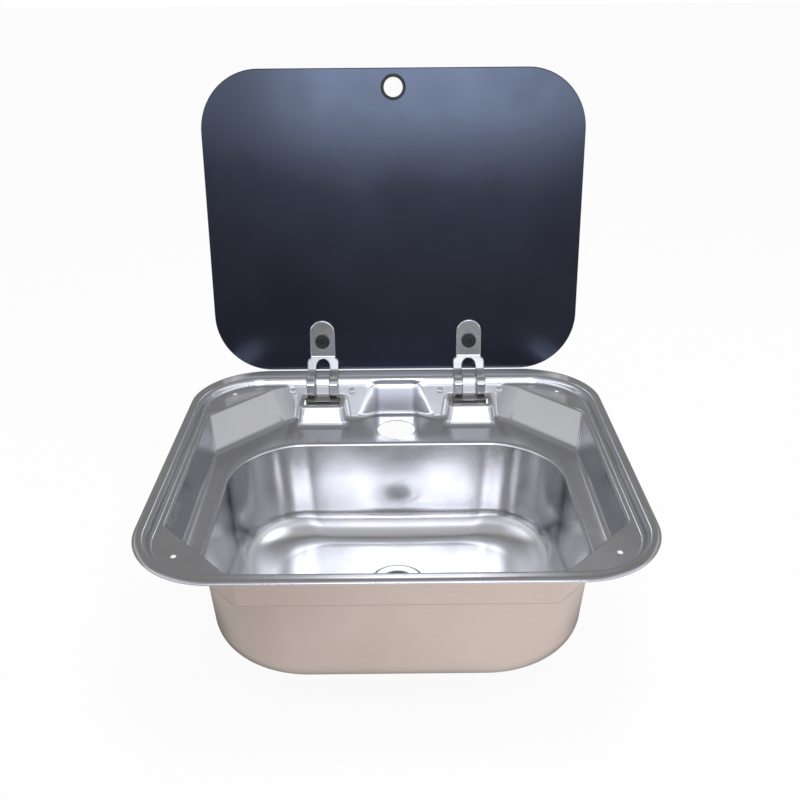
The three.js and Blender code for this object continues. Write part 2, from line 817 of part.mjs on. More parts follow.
// Two ears behind the back wall, a cheek down from each, and the web between the cheeks.
// The strap's arm comes to rest against the web as the lid closes.
function hingeBase() {
  const earX = rivetSpacing / 2 + earEnd;
  const earMiddle = (earX + cheekInner) / 2;
  const earReach = { side: (earX - cheekInner) / 2, front: earHeight / 2, back: earHeight / 2 };
  const rear = wallNormal + gap;
  const ear = plate(boxOutline(earReach, earCorner, 3), rear, rear + cheekThickness);
  const top = rivetDepth - (earHeight / 2) * Math.cos(backWallTilt);
  const foot = rivetDepth + (earHeight / 2) * Math.cos(backWallTilt);
  const low = top + cheekHeight;
  const lean = open - Math.PI / 2;
  const armHalf = strapThickness / 2 / Math.cos(lean);
  const stopY = pivot.y + (low - pivotDepth) * Math.tan(lean) + armHalf + gap;
  const stopBack = stopY + cheekThickness;
  const wall = (depth) =>
    backWallY(depth) + (rear + cheekThickness / 2) / Math.cos(backWallTilt);
  const outline = [
    [wall(top), level(top)],
    [wall(foot), level(foot)],
    [wall(foot), level(low)],
    [stopBack, level(low)],
    [stopBack, pivot.z],
    [wall(top) + cheekShoulder, level(top)],
  ].map(([y, z]) => new THREE.Vector2(y, z));
  const cheek = sideways(plate(outline, 0, cheekThickness));
  const placed = (side) => {
    const x = side > 0 ? cheekInner : -cheekOuter;
    return moved(ear, onBackWall(side * earMiddle, rivetDepth)).add(shifted(cheek, x, 0, 0));
  };
  const web = [
    [stopY, level(low)],
    [stopBack, level(low)],
    [stopBack, level(low - stopHeight)],
    [stopY, level(low - stopHeight)],
  ].map(([y, z]) => new THREE.Vector2(y, z));
  const made = union([placed(1), placed(-1), sideProfile(web, 2 * cheekInner + bite)]);
  const pinHole = shifted(sideways(disc(bore, -earX, earX, SMALL)), 0, pivot.y, pivot.z);
  const rivetHole = disc(rivetRadius + gap, -bite, rear + cheekThickness + bite, TINY);
  return [-1, 1]
    .map((side) => moved(rivetHole, onBackWall((side * rivetSpacing) / 2, rivetDepth)))
    .reduce((whole, hole) => whole.subtract(hole), made.subtract(pinHole));
}

function rivet() {
  const rear = wallNormal + 2 * gap + cheekThickness;
  const head = -gap;
  const steps = 3;
  const profile = [[0, head - rivetHeadHeight]];
  for (let i = 1; i <= steps; i += 1) {
    const turn = (i / steps) * (Math.PI / 2);
    profile.push([rivetHeadRadius * Math.sin(turn), head - rivetHeadHeight * Math.cos(turn)]);
  }
  profile.push(
    [rivetRadius, head],
    [rivetRadius, rear],
    [rivetTailRadius, rear],
    [rivetTailRadius, rear + rivetTail / 2],
    [rivetRadius, rear + rivetTail],
    [0, rear + rivetTail],
  );
  return revolve(profile, TINY);
}

const pinFace = cheekOuter + gap;
const pinEnd = pinFace + clipThickness + pinTail;

function hingePin() {
  return revolve(
    [
      [0, -pinFace - pinHeadLength],
      [pinHeadRadius, -pinFace - pinHeadLength],
      [pinHeadRadius, -pinFace],
      [pinRadius, -pinFace],
      [pinRadius, pinFace],
      [clipNeck, pinFace],
      [clipNeck, pinFace + clipThickness + gap],
      [pinRadius, pinFace + clipThickness + gap],
      [pinRadius, pinEnd],
      [0, pinEnd],
    ],
    SMALL,
  );
}

// A flat ring that is pushed over the pin's neck through its open mouth.
function pinClip() {
  const mouth = THREE.MathUtils.degToRad(clipMouth / 2);
  const from = mouth - Math.PI / 2;
  const to = 1.5 * Math.PI - mouth;
  const shape = new THREE.Shape();
  shape.absarc(0, 0, clipRadius, from, to, false);
  shape.absarc(0, 0, clipNeck + clipPlay, to, from, true);
  const low = pinFace + gap / 2;
  return plate(shape.getPoints(8), low, low + clipThickness);
}

function pinSleeve() {
  const half = strapGap / 2 - gap;
  return revolve(
    [
      [bore, -half],
      [sleeveRadius, -half],
      [sleeveRadius, half],
      [bore, half],
    ],
    SMALL,
  );
}

// ---- Waste, on its own axis with heights from the bowl floor at the drain ----

const seatFloor = -drainSeatDepth;
const flangeUnder = seatFloor + wasteSeal + 2 * gap;
const flangeTop = flangeUnder + wasteSheet;
const dishFloor = flangeUnder - wasteDish;
const gasketTop = seatFloor - sheet - gap;
const bodyTop = gasketTop - gasketThickness - gap;
const screwHead = dishFloor + wasteSheet + gap;
const screwTop = screwHead + wasteScrewHeadHeight;
const screwTip = screwTop - wasteScrewLength;

// The flange in the bowl: a rim, a dish through the hole, and a strainer with a hub for the screw.
function wasteFlange() {
  const ledge = wasteThroat - wasteLedge;
  const grid = dishFloor + wasteSheet;
  const rim = revolve(
    [
      [wasteThroat, flangeUnder],
      [wasteFlangeRadius, flangeUnder],
      [wasteFlangeRadius, flangeTop - wasteLip / 2],
      [wasteFlangeRadius - wasteLip, flangeTop],
      [wasteThroat + wasteLip, flangeTop],
      [wasteThroat, flangeTop - wasteLip],
      [wasteThroat - wasteLip, grid],
      [ledge, grid],
      [ledge, dishFloor],
      [wasteThroat, dishFloor],
      [wasteThroat + wasteTaper, flangeUnder - wasteSheet],
    ],
    MEDIUM,
  );
  const reach = ledge + bite;
  const bar = new THREE.BoxGeometry(reach, wasteBarWidth, wasteSheet);
  const bars = Array.from({ length: wasteBars }, (_, i) => {
    const spoke = bar.clone().translate(reach / 2, 0, (dishFloor + grid) / 2);
    return solid(spoke.rotateZ((i / wasteBars) * 2 * Math.PI));
  });
  const hub = disc(wasteHub, dishFloor, grid, SMALL);
  const hole = disc(wasteScrewRadius + gap, dishFloor - bite, grid + bite, TINY);
  return union([rim, ...bars, hub]).subtract(hole);
}

function washer(inner, outer, low, high) {
  return revolve(
    [
      [inner, low],
      [outer, low],
      [outer, high],
      [inner, high],
    ],
    MEDIUM,
  );
}

function wasteBody() {
  const floor = bodyTop - wasteBodyDepth;
  const spigotEnd = floor - spigotLength;
  const outside = wasteBodyRadius - wasteShoulder;
  const inside = outside - wasteBodyWall;
  const dish = floor + wasteBodyWall;
  const barbs = Array.from({ length: spigotBarbs }, (_, i) => {
    const end = spigotEnd + i * barbPitch;
    return [
      [spigotRadius, end],
      [spigotRadius + barbRise, end + barbLength],
      [spigotRadius, end + barbLength + barbStep],
    ];
  }).flat();
  const cup = revolve(
    [
      [spigotBore, spigotEnd],
      ...barbs,
      [spigotRadius, floor - wasteBodyWall],
      [outside - wasteBevel, floor],
      [outside, floor + wasteBevel],
      [outside, bodyTop - wasteCollar],
      [wasteBodyRadius, bodyTop - wasteCollar],
      [wasteBodyRadius, bodyTop],
      [inside, bodyTop],
      [inside, dish + wasteBevel],
      [inside - wasteBevel, dish],
      [spigotBore, floor],
    ],
    MEDIUM,
  );
  const rib = solid(
    new THREE.BoxGeometry(2 * inside + bite, wasteRibWidth, wasteRibHeight).translate(
      0,
      0,
      dish + wasteRibHeight / 2,
    ),
  );
  const post = disc(wasteScrewRadius + wastePostWall, dish, bodyTop - wasteCollar, SMALL);
  const thread = disc(wasteScrewRadius + gap, screwTip - bite, bodyTop, TINY);
  return cup.add(rib.add(post).subtract(thread));
}

function wasteScrew() {
  const made = revolve(
    [
      [0, screwTip],
      [wasteScrewRadius, screwTip],
      [wasteScrewRadius, screwHead],
      [wasteScrewHead, screwHead],
      [wasteScrewHead - wasteLip / 2, screwTop - wasteLip / 2],
      [0, screwTop],
    ],
    TINY,
  );
  const slot = new THREE.BoxGeometry(2 * wasteScrewHead, wasteSlotWidth, 2 * wasteSlotDepth);
  return made.subtract(solid(slot.translate(0, 0, screwTop)));
}

// ---- Materials ----

const finish = (color, roughness, metalness) =>
  new THREE.MeshStandardMaterial({ color, roughness, metalness });
const satinSteel = finish(0xc4c4c2, 0.3, 1);
const brightSteel = finish(0xd6d6d6, 0.14, 1);
const zincSteel = finish(0xa9aaac, 0.4, 1);
const blackGlass = finish(0x16161a, 0.08, 0);
const blackPlastic = finish(0x111112, 0.45, 0);
const blackRubber = finish(0x1b1b1c, 0.8, 0);
const greyPlastic = finish(0x8f9092, 0.5, 0);

// ---- Assembly ----

const sink = new THREE.Group();

function add(parent, name, made, material) {
  const mesh = new THREE.Mesh(geometryOf(made), material);
  mesh.name = name;
  parent.add(mesh);
  return mesh;
}

add(sink, "sink_pressing", sinkPressing(), satinSteel);

// The lid hangs on the pins and is shown open, turned back from where it was drawn.
const lid = new THREE.Group();
lid.position.copy(pivot);
lid.rotation.x = -open;
sink.add(lid);
add(lid, "glass_lid", glassLid(), blackGlass);
add(lid, "finger_grommet", fingerGrommet(), blackRubber);

for (const [i, side] of ["left", "right"].entries()) {
  const onLid = new THREE.Group();
  onLid.position.x = hingeX[i];
  lid.add(onLid);
  add(onLid, `hinge_strap_${side}`, hingeStrap(), brightSteel);
  add(onLid, `strap_pad_${side}`, bracketPad(), blackRubber);
  add(onLid, `clamp_screw_${side}`, clampScrew(), blackPlastic);
  add(onLid, `clamp_bush_${side}`, clampBush(), blackPlastic);
  add(onLid, `clamp_cap_${side}`, clampCap(), blackPlastic);

  const fixed = new THREE.Group();
  fixed.position.x = hingeX[i];
  sink.add(fixed);
  add(fixed, `hinge_base_${side}`, hingeBase(), zincSteel);

  const onPin = new THREE.Group();
  onPin.position.set(hingeX[i], pivot.y, pivot.z);
  sink.add(onPin);
  const fromOutside = (made) => (side === "left" ? sideways(made) : mirrored(sideways(made)));
  add(onPin, `hinge_pin_${side}`, fromOutside(hingePin()), zincSteel);
  add(onPin, `pin_clip_${side}`, fromOutside(pinClip()), zincSteel);
  add(onPin, `pin_sleeve_${side}`, sideways(pinSleeve()), brightSteel);

  const outward = Math.sign(hingeX[i]) * (rivetSpacing / 2);
  const outer = onBackWall(hingeX[i] + outward, rivetDepth);
  const inner = onBackWall(hingeX[i] - outward, rivetDepth);
  add(sink, `rivet_${side}_outer`, moved(rivet(), outer), brightSteel);
  add(sink, `rivet_${side}_inner`, moved(rivet(), inner), brightSteel);
}

const waste = new THREE.Group();
waste.position.set(0, drainY, level(bowlDepth));
sink.add(waste);
add(waste, "waste_flange", wasteFlange(), brightSteel);
add(
  waste,
  "waste_seal",
  washer(
    drainHoleRadius + wasteLip,
    wasteFlangeRadius - wasteLip,
    seatFloor + gap,
    seatFloor + gap + wasteSeal,
  ),
  blackRubber,
);
add(
  waste,
  "waste_gasket",
  washer(drainHoleRadius, gasketRadius, gasketTop - gasketThickness, gasketTop),
  blackRubber,
);
add(waste, "waste_body", wasteBody(), greyPlastic);
add(waste, "waste_screw", wasteScrew(), brightSteel);

export default sink;
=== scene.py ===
"""Looks of a caravan sink: the drawn steel sheet, the dark glass lid, its hinges and the waste.

Sizes are in millimetres until a mesh is made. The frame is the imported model's: +Z up, front at -Y.
"""

import json
import math

import bpy
import numpy as np
from mathutils import Matrix, Vector
from mathutils.geometry import tessellate_polygon


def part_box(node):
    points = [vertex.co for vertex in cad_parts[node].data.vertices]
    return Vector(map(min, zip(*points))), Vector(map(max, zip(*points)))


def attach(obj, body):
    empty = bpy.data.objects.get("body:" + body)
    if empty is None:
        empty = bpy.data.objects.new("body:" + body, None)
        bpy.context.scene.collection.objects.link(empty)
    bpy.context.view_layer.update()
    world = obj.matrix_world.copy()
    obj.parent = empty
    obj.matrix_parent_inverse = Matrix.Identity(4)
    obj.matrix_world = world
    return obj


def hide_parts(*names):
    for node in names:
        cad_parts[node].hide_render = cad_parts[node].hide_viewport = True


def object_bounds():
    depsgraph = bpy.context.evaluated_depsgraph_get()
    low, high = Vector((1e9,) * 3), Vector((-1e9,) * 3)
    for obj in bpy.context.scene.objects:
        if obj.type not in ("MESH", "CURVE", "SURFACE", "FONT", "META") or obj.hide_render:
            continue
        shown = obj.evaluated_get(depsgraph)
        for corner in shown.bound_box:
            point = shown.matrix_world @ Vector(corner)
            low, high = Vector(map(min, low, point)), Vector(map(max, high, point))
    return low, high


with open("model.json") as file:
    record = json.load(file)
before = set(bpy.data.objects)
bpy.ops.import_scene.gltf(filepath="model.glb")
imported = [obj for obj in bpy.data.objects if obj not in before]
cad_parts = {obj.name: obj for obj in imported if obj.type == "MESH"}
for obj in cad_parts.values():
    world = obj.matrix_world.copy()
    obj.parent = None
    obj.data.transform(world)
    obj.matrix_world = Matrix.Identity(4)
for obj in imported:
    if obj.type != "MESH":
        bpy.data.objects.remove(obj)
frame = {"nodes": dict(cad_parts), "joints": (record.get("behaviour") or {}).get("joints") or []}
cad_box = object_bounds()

MM = 0.001

# ---- Sizes ----

RIM_SIDE, RIM_END, RIM_RISE = np.array(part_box("sink_pressing")[1]) / MM
RIM_CORNER = 73
RIM_ROLL = 5
SHEET = 0.8

WELL = {"side": 198, "front": 173, "back": 162}
WELL_CORNER = 58
WELL_FILLET = 3
WELL_DRAFT = 0.3  # how far the wall leans in, per millimetre of depth
SEAT_DEPTH = 8
SEAT_FOOT = 1.6  # fillet between the well's wall and the seat
SEAT_LIP = 1.3
BUFFER_HOLE = 2.4
BUFFER_HOLES = [(173, -142), (170.5, 142)]

DECK_DEPTH = 40
DECK_FILLET = 4
SEAT_SIDE, DRAFT_SIDE = 9, 7
SEAT_FRONT, DRAFT_FRONT = 7, 1
SEAT_BACK, DRAFT_BACK = 2, 16
FRONT_DIAGONAL = (-43.3, 56, 3)  # the way the wall faces, the seat's width there, the draft
BACK_DIAGONAL = (44, 54, 21.5)
RECESS_CORNER = 2.4
BACK_CORNER = 9  # between the back wall and the back diagonals
TAP_HOLE = (0, 120, 19.8)

NICHE_HALF = 24
NICHE_FLARE = 21
NICHE_DRAFT = 6
NICHE_MOUTH = 7  # how far the flare runs on in front of the recess's back wall
NICHE_TURN = 35  # mean turn of its flaring sides in degrees, which scales their field
NICHE_EDGE = 6

BOWL = {"side": 164, "front": 162, "back": 92}
BOWL_CORNER = 71
BOWL_LIP = 3
BOWL_DRAFT = 3  # degrees
BOWL_DEPTH = 144
BOWL_FILLET = {"back": 27, "front": 42}
FILLET_CHANGE = 160  # length over which the fillet's radius changes
FLOOR_FALL = 2
FLOOR_REACH = 100
DRAIN_Y = -4
DRAIN_SEAT = 26.5
DRAIN_SEAT_DEPTH = 1.6
DRAIN_SEAT_FOOT = 0.8
DRAIN_SEAT_LIP = 1
DRAIN_HOLE = 20
DRAIN_LEDGE = 3

BOSS_TOP = 19  # depth of the boss's top
BOSS_FRONT = 132.5
BOSS_HALF = 23.5
BOSS_SPREAD = 3.8
BOSS_LEAN = 5.5
BOSS_EDGE = 2.6
BOSS_CORNER = 6
BOSS_FILLET = 4.5
SLOT_HALF = 19
SLOT_CORNER = 3
SLOT_Y = (135.5, 153)

hinge = frame["joints"][0]
PIVOT = np.array(hinge["pos_m"]) / MM
OPEN = math.radians(hinge["range_deg"][1])  # the lid's turn from closed to its open rest pose
HINGES = {
    side: sum(corner.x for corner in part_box(f"hinge_strap_{side}")) / 2 / MM
    for side in ("left", "right")
}

TINY = 1e-9


def level(depth):
    """Height of a depth below the top of the rim."""
    return RIM_RISE - depth


def grain(full):
    return full


# ---- Distance fields: negative inside the material, in millimetres ----


def sharp_max(a, b, radius):
    """Intersection of two fields whose common edge is rounded to a radius."""
    rounded = np.hypot(np.maximum(a + radius, 0), np.maximum(b + radius, 0))
    return np.minimum(np.maximum(a, b), -radius) + rounded


def soft_min(a, b, radius):
    """Union of two fields with a fillet of a radius between them."""
    return -sharp_max(-a, -b, radius)


def past_corner(x, y, reach, corner):
    """How far points lie past a corner arc's middle, along X and Y."""
    half = (reach["back"] + reach["front"]) / 2
    centre = (reach["back"] - reach["front"]) / 2
    return np.abs(x) - (reach["side"] - corner), np.abs(y - centre) - (half - corner)


def rounded_box(x, y, reach, corner):
    """Distance to a rounded rectangle given by its reaches to the side, the front and the back."""
    across, along = past_corner(x, y, reach, corner)
    outside = np.hypot(np.maximum(across, 0), np.maximum(along, 0))
    return outside + np.minimum(np.maximum(across, along), 0) - corner


def even_corner_box(x, y, reach, corner):
    """Like rounded_box, but each outline inside it keeps the same corner radius."""
    across, along = past_corner(x, y, reach, corner)
    turn = np.clip(across - along, -corner, corner)
    arc = (across + along - np.sqrt(2 * corner**2 - turn**2)) / 2
    return np.where(np.abs(across - along) < corner, arc, np.maximum(across, along) - corner)


def rim_edge(x, y):
    return rounded_box(x, y, {"side": RIM_SIDE, "front": RIM_END, "back": RIM_END}, RIM_CORNER)


def recess_walls(x, y, drop):
    """The eight walls below the seat. drop runs from 0 at the seat to 1 at the deck."""
    height = DECK_DEPTH - SEAT_DEPTH
    walls = []
    for angle, edge, seat, draft in (
        (0, WELL["side"], SEAT_SIDE, DRAFT_SIDE),
        (90, WELL["back"], SEAT_BACK, DRAFT_BACK),
        (270, WELL["front"], SEAT_FRONT, DRAFT_FRONT),
        (BACK_DIAGONAL[0], WELL["back"], *BACK_DIAGONAL[1:]),
        (FRONT_DIAGONAL[0], -WELL["front"], *FRONT_DIAGONAL[1:]),
    ):
        turn = math.radians(angle)
        if angle in (BACK_DIAGONAL[0], FRONT_DIAGONAL[0]):
            edge = WELL["side"] * math.cos(turn) + edge * math.sin(turn)
        steep = height / math.hypot(height, draft)
        reach = np.abs(x) * math.cos(turn) + y * math.sin(turn)
        walls.append((reach - (edge - seat) + draft * drop) * steep)
    side, back, front, back_diagonal, front_diagonal = walls
    inside = sharp_max(back, back_diagonal, BACK_CORNER)
    for wall in (side, front, front_diagonal):
        inside = sharp_max(inside, wall, RECESS_CORNER)
    return inside


def niche_walls(x, y, drop):
    """The niche behind the tap hole, whose sides flare out towards the deck."""
    back = WELL["back"] - SEAT_BACK - NICHE_DRAFT * drop
    front = (DRAFT_BACK - NICHE_DRAFT) * drop + NICHE_MOUTH
    spread = NICHE_FLARE * drop * np.clip((back - y) / front, 0, 1)
    sides = (np.abs(x) - NICHE_HALF - spread) * math.cos(math.radians(NICHE_TURN))
    return np.maximum(sharp_max(y - back, sides, NICHE_EDGE), -y)


def boss(x, y, z, middle):
    """The box on the deck that one hinge goes down into, wider at its foot."""
    rise = DECK_DEPTH - BOSS_TOP
    fall = (level(BOSS_TOP) - z) / rise
    sides = (np.abs(x - middle) - BOSS_HALF - BOSS_SPREAD * fall) * math.cos(BOSS_SPREAD / rise)
    front = (BOSS_FRONT - BOSS_LEAN * fall - y) * math.cos(BOSS_LEAN / rise)
    walls = sharp_max(sides, front, BOSS_CORNER)
    return sharp_max(walls, z - level(BOSS_TOP), BOSS_EDGE)


def floor_height(x, y):
    """The bowl's floor falls to a level ledge round the drain."""
    away = (np.hypot(x, y - DRAIN_Y) - DRAIN_SEAT - DRAIN_LEDGE) / FLOOR_REACH
    share = np.clip(away, 0, 1)
    return level(BOWL_DEPTH - FLOOR_FALL * share * (2 - share))


def bowl_walls(x, y, z):
    """The bowl, whose foot is rounded more at the front than at the back."""
    lean = math.tan(math.radians(BOWL_DRAFT))
    middle = (BOWL["back"] - BOWL["front"]) / 2
    bowl = even_corner_box(x, y, BOWL, BOWL_CORNER)
    bowl = bowl + BOWL_LIP + lean * (RIM_RISE - z - DECK_DEPTH - BOWL_LIP)
    forward = np.clip(0.5 - (y - middle) / FILLET_CHANGE, 0, 1)
    forward = forward * forward * (3 - 2 * forward)
    fillet = BOWL_FILLET["back"] + (BOWL_FILLET["front"] - BOWL_FILLET["back"]) * forward
    return sharp_max(bowl, floor_height(x, y) - z, fillet)


def pressing(x, y, z):
    """The upper face of the sheet, with everything below it taken as material."""
    depth = RIM_RISE - z
    past_deck = 1.2
    drop = np.clip((depth - SEAT_DEPTH) / (DECK_DEPTH - SEAT_DEPTH), 0, past_deck)
    well = rounded_box(x, y, WELL, WELL_CORNER) + WELL_DRAFT * (depth - WELL_FILLET)
    well = sharp_max(well, level(SEAT_DEPTH) - z, SEAT_FOOT)
    walls = soft_min(recess_walls(x, y, drop), niche_walls(x, y, drop), NICHE_EDGE)
    upper = sharp_max(walls, level(DECK_DEPTH) - z, DECK_FILLET)
    for middle in HINGES.values():
        upper = sharp_max(upper, -boss(x, y, z, middle), BOSS_FILLET)
    seat = np.hypot(x, y - DRAIN_Y) - DRAIN_SEAT
    seat = sharp_max(seat, level(BOWL_DEPTH + DRAIN_SEAT_DEPTH) - z, DRAIN_SEAT_FOOT)
    hollow = soft_min(well, upper, SEAT_LIP)
    hollow = soft_min(hollow, bowl_walls(x, y, z), BOWL_LIP)
    hollow = soft_min(hollow, seat, DRAIN_SEAT_LIP)
    out = np.maximum(rim_edge(x, y) + RIM_ROLL, 0) / RIM_ROLL
    up = np.maximum(z, 0) / RIM_RISE
    rim = np.where(out > 0, RIM_RISE * (np.hypot(out, up) - 1), z - RIM_RISE)
    return sharp_max(rim, -hollow, WELL_FILLET)


# ---- Meshes from fields ----


def net(field, low, high, cell):
    """Corners and quads of a field's surface, one corner in each grid cell that it passes."""
    axes = [np.arange(a, b + cell, cell, dtype=np.float32) for a, b in zip(low, high)]
    inside = field(axes[0][:, None, None], axes[1][None, :, None], axes[2][None, None, :]) < 0
    total = np.zeros(np.array(inside.shape) - 1, np.int8)
    across, along, up = total.shape
    for dx in (0, 1):
        for dy in (0, 1):
            for dz in (0, 1):
                total += inside[dx:dx + across, dy:dy + along, dz:dz + up]
    cells = np.argwhere((total > 0) & (total < 8))
    number = np.full(total.shape, -1, np.int32)
    number[tuple(cells.T)] = np.arange(len(cells))
    corners = np.array(low) + (cells + 0.5) * cell
    quads = []
    for axis in range(3):
        first, second = (axis + 1) % 3, (axis + 2) % 3
        moved = np.moveaxis(inside, (axis, first, second), (0, 1, 2))
        ids = np.moveaxis(number, (axis, first, second), (0, 1, 2))
        for leaving in (True, False):
            hits = np.argwhere((moved[:-1] == leaving) & (moved[1:] != leaving))
            keep = (hits[:, 1] > 0) & (hits[:, 2] > 0)
            keep &= (hits[:, 1] < ids.shape[1]) & (hits[:, 2] < ids.shape[2])
            i, j, k = hits[keep].T
            around = (ids[i, j - 1, k - 1], ids[i, j, k - 1], ids[i, j, k], ids[i, j - 1, k])
            quad = np.stack(around, 1)
            quads.append(quad if leaving else quad[:, ::-1])
    return corners, np.concatenate(quads)


def unit(vectors):
    return vectors / np.maximum(np.linalg.norm(vectors, axis=1, keepdims=True), TINY)


def slope(field, points, step=0.02):
    """The gradient of a field, or of a level outline, at points."""
    out = np.empty_like(points)
    for axis in range(points.shape[1]):
        ahead, behind = points.copy(), points.copy()
        ahead[:, axis] += step
        behind[:, axis] -= step
        out[:, axis] = (field(*ahead.T) - field(*behind.T)) / (2 * step)
    return out


def settle(field, points, reach, rounds=6):
    """Moves points onto the field's surface and returns them with their normals."""
    flattest = 1e-6
    for _ in range(rounds):
        gradient = slope(field, points)
        square = np.maximum((gradient**2).sum(1), flattest)
        move = -(field(*points.T) / square)[:, None] * gradient
        length = np.linalg.norm(move, axis=1, keepdims=True)
        points = points + move * np.minimum(1, reach / np.maximum(length, TINY))
    return points, unit(slope(field, points))


def linked(name, data):
    made = bpy.data.objects.new(name, data)
    bpy.context.scene.collection.objects.link(made)
    return made


def smooth(mesh):
    mesh.polygons.foreach_set("use_smooth", [True] * len(mesh.polygons))


def new_object(name, corners, faces, body, materials):
    """A smooth object that rides on a body, from corners in millimetres and lists of faces."""
    mesh = bpy.data.meshes.new(name)
    mesh.from_pydata((corners * MM).tolist(), [], faces)
    mesh.update()
    made = linked(name, mesh)
    for material in materials:
        mesh.materials.append(material)
    smooth(mesh)
    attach(made, body)
    return made


def thinned(corners, faces, share):
    """The same surface with fewer faces where it is flat."""
    mesh = bpy.data.meshes.new("thinning")
    mesh.from_pydata(corners.tolist(), [], faces.tolist())
    made = linked("thinning", mesh)
    modifier = made.modifiers.new("thin", "DECIMATE")
    modifier.ratio = share
    modifier.use_collapse_triangulate = True
    result = made.evaluated_get(bpy.context.evaluated_depsgraph_get()).to_mesh()
    kept = np.empty(len(result.vertices) * 3)
    result.vertices.foreach_get("co", kept)
    triangles = np.array([list(p.vertices) for p in result.polygons])
    bpy.data.objects.remove(made)
    bpy.data.meshes.remove(mesh)
    return kept.reshape(-1, 3), triangles


def compact(corners, faces):
    """Only the corners that a face still uses."""
    used, renumbered = np.unique(faces, return_inverse=True)
    return corners[used], renumbered.reshape(faces.shape)


def border_edges(faces):
    """Directed edges that only one face has."""
    count = faces.shape[1]
    edges = np.concatenate([faces[:, [i, (i + 1) % count]] for i in range(count)])
    _, where, times = np.unique(np.sort(edges, 1), axis=0, return_index=True, return_counts=True)
    return edges[where[times == 1]]


def move_onto(outline, corners, chosen):
    """Moves chosen corners level onto an outline. Returns the way it faces at each of them."""
    for _ in range(3):
        points = corners[chosen, :2]
        facing = slope(outline, points)
        corners[chosen, :2] -= outline(*points.T)[:, None] * facing
    return facing


def snap(corners, faces, openings, near):
    """Moves border corners onto the outlines that they belong to."""
    border = np.unique(border_edges(faces))
    for outline, depth in openings:
        x, y, z = corners[border].T
        close = (np.abs(outline(x, y)) < near) & (np.abs(z - level(depth)) < near)
        move_onto(outline, corners, border[close])


def circle(middle_x, middle_y, radius):
    return lambda x, y: np.hypot(x - middle_x, y - middle_y) - radius


def slot_outline(middle):
    reach = {"side": SLOT_HALF, "front": -SLOT_Y[0], "back": SLOT_Y[1]}
    return lambda x, y: rounded_box(x - middle, y, reach, SLOT_CORNER)


def pressing_openings():
    """Each opening's outline and its depth."""
    openings = [(circle(*TAP_HOLE), DECK_DEPTH)]
    openings.append((circle(0, DRAIN_Y, DRAIN_HOLE), BOWL_DEPTH + DRAIN_SEAT_DEPTH))
    for x, y in BUFFER_HOLES:
        openings += [(circle(side * x, y, BUFFER_HOLE), SEAT_DEPTH) for side in (-1, 1)]
    openings += [(slot_outline(middle), BOSS_TOP) for middle in HINGES.values()]
    return openings


def sink_surface():
    """The pressing's upper face, open at its holes and along the rim's foot, with normals."""
    cell = grain(1.5)
    margin = 3
    lowest = level(BOWL_DEPTH + DRAIN_SEAT_DEPTH) - margin
    low = (-RIM_SIDE - margin, -RIM_END - margin, lowest)
    high = (RIM_SIDE + margin, RIM_END + margin, RIM_RISE + margin)
    corners, faces = net(pressing, low, high, cell)
    corners, _ = settle(pressing, corners, cell)
    openings = pressing_openings()
    x, y, z = corners[faces].mean(1).T
    foot = corners[faces][:, :, 2].min(1)
    gone = (foot < 0) & (rim_edge(x, y) > -2 * RIM_ROLL)
    for outline, depth in openings:
        near = np.abs(z - level(depth)) < 2 * cell
        gone |= near & (outline(x, y) < 0)
    corners, faces = compact(corners, faces[~gone])
    snap(corners, faces, openings, 2 * cell)
    corners, faces = thinned(corners, faces, grain(0.4))
    corners, normals = settle(pressing, corners, cell / 2)
    snap(corners, faces, openings, 2 * cell)
    border = np.unique(border_edges(faces))
    rim = border[rim_edge(*corners[border, :2].T) > -RIM_ROLL]
    corners[rim, 2] = 0
    facing = move_onto(rim_edge, corners, rim)
    normals[rim] = np.column_stack([facing, np.zeros(len(rim))])
    return corners, faces, normals


def sheet_object(name, surface, body, materials):
    """Gives a surface its thickness. Materials: upper face, under face."""
    corners, faces, normals = surface
    count = len(corners)
    border = border_edges(faces)
    walls = np.concatenate([
        np.stack([border[:, 1], border[:, 0], border[:, 0] + count], 1),
        np.stack([border[:, 1], border[:, 0] + count, border[:, 1] + count], 1),
    ])
    every = np.concatenate([faces, faces[:, ::-1] + count, walls])
    points = np.concatenate([corners, corners - normals * SHEET])
    made = new_object(name, points, every.tolist(), body, materials)
    side = np.zeros(len(every), np.int32)
    side[len(faces):2 * len(faces)] = 1
    made.data.polygons.foreach_set("material_index", side)
    a, b, c = (points[walls[:, i]] for i in range(3))
    shading = np.concatenate([
        normals[faces].reshape(-1, 3),
        -normals[faces[:, ::-1]].reshape(-1, 3),
        np.repeat(unit(np.cross(b - a, c - a)), 3, axis=0),
    ])
    made.data.normals_split_custom_set(shading.tolist())
    return made


# ---- Node trees and materials ----


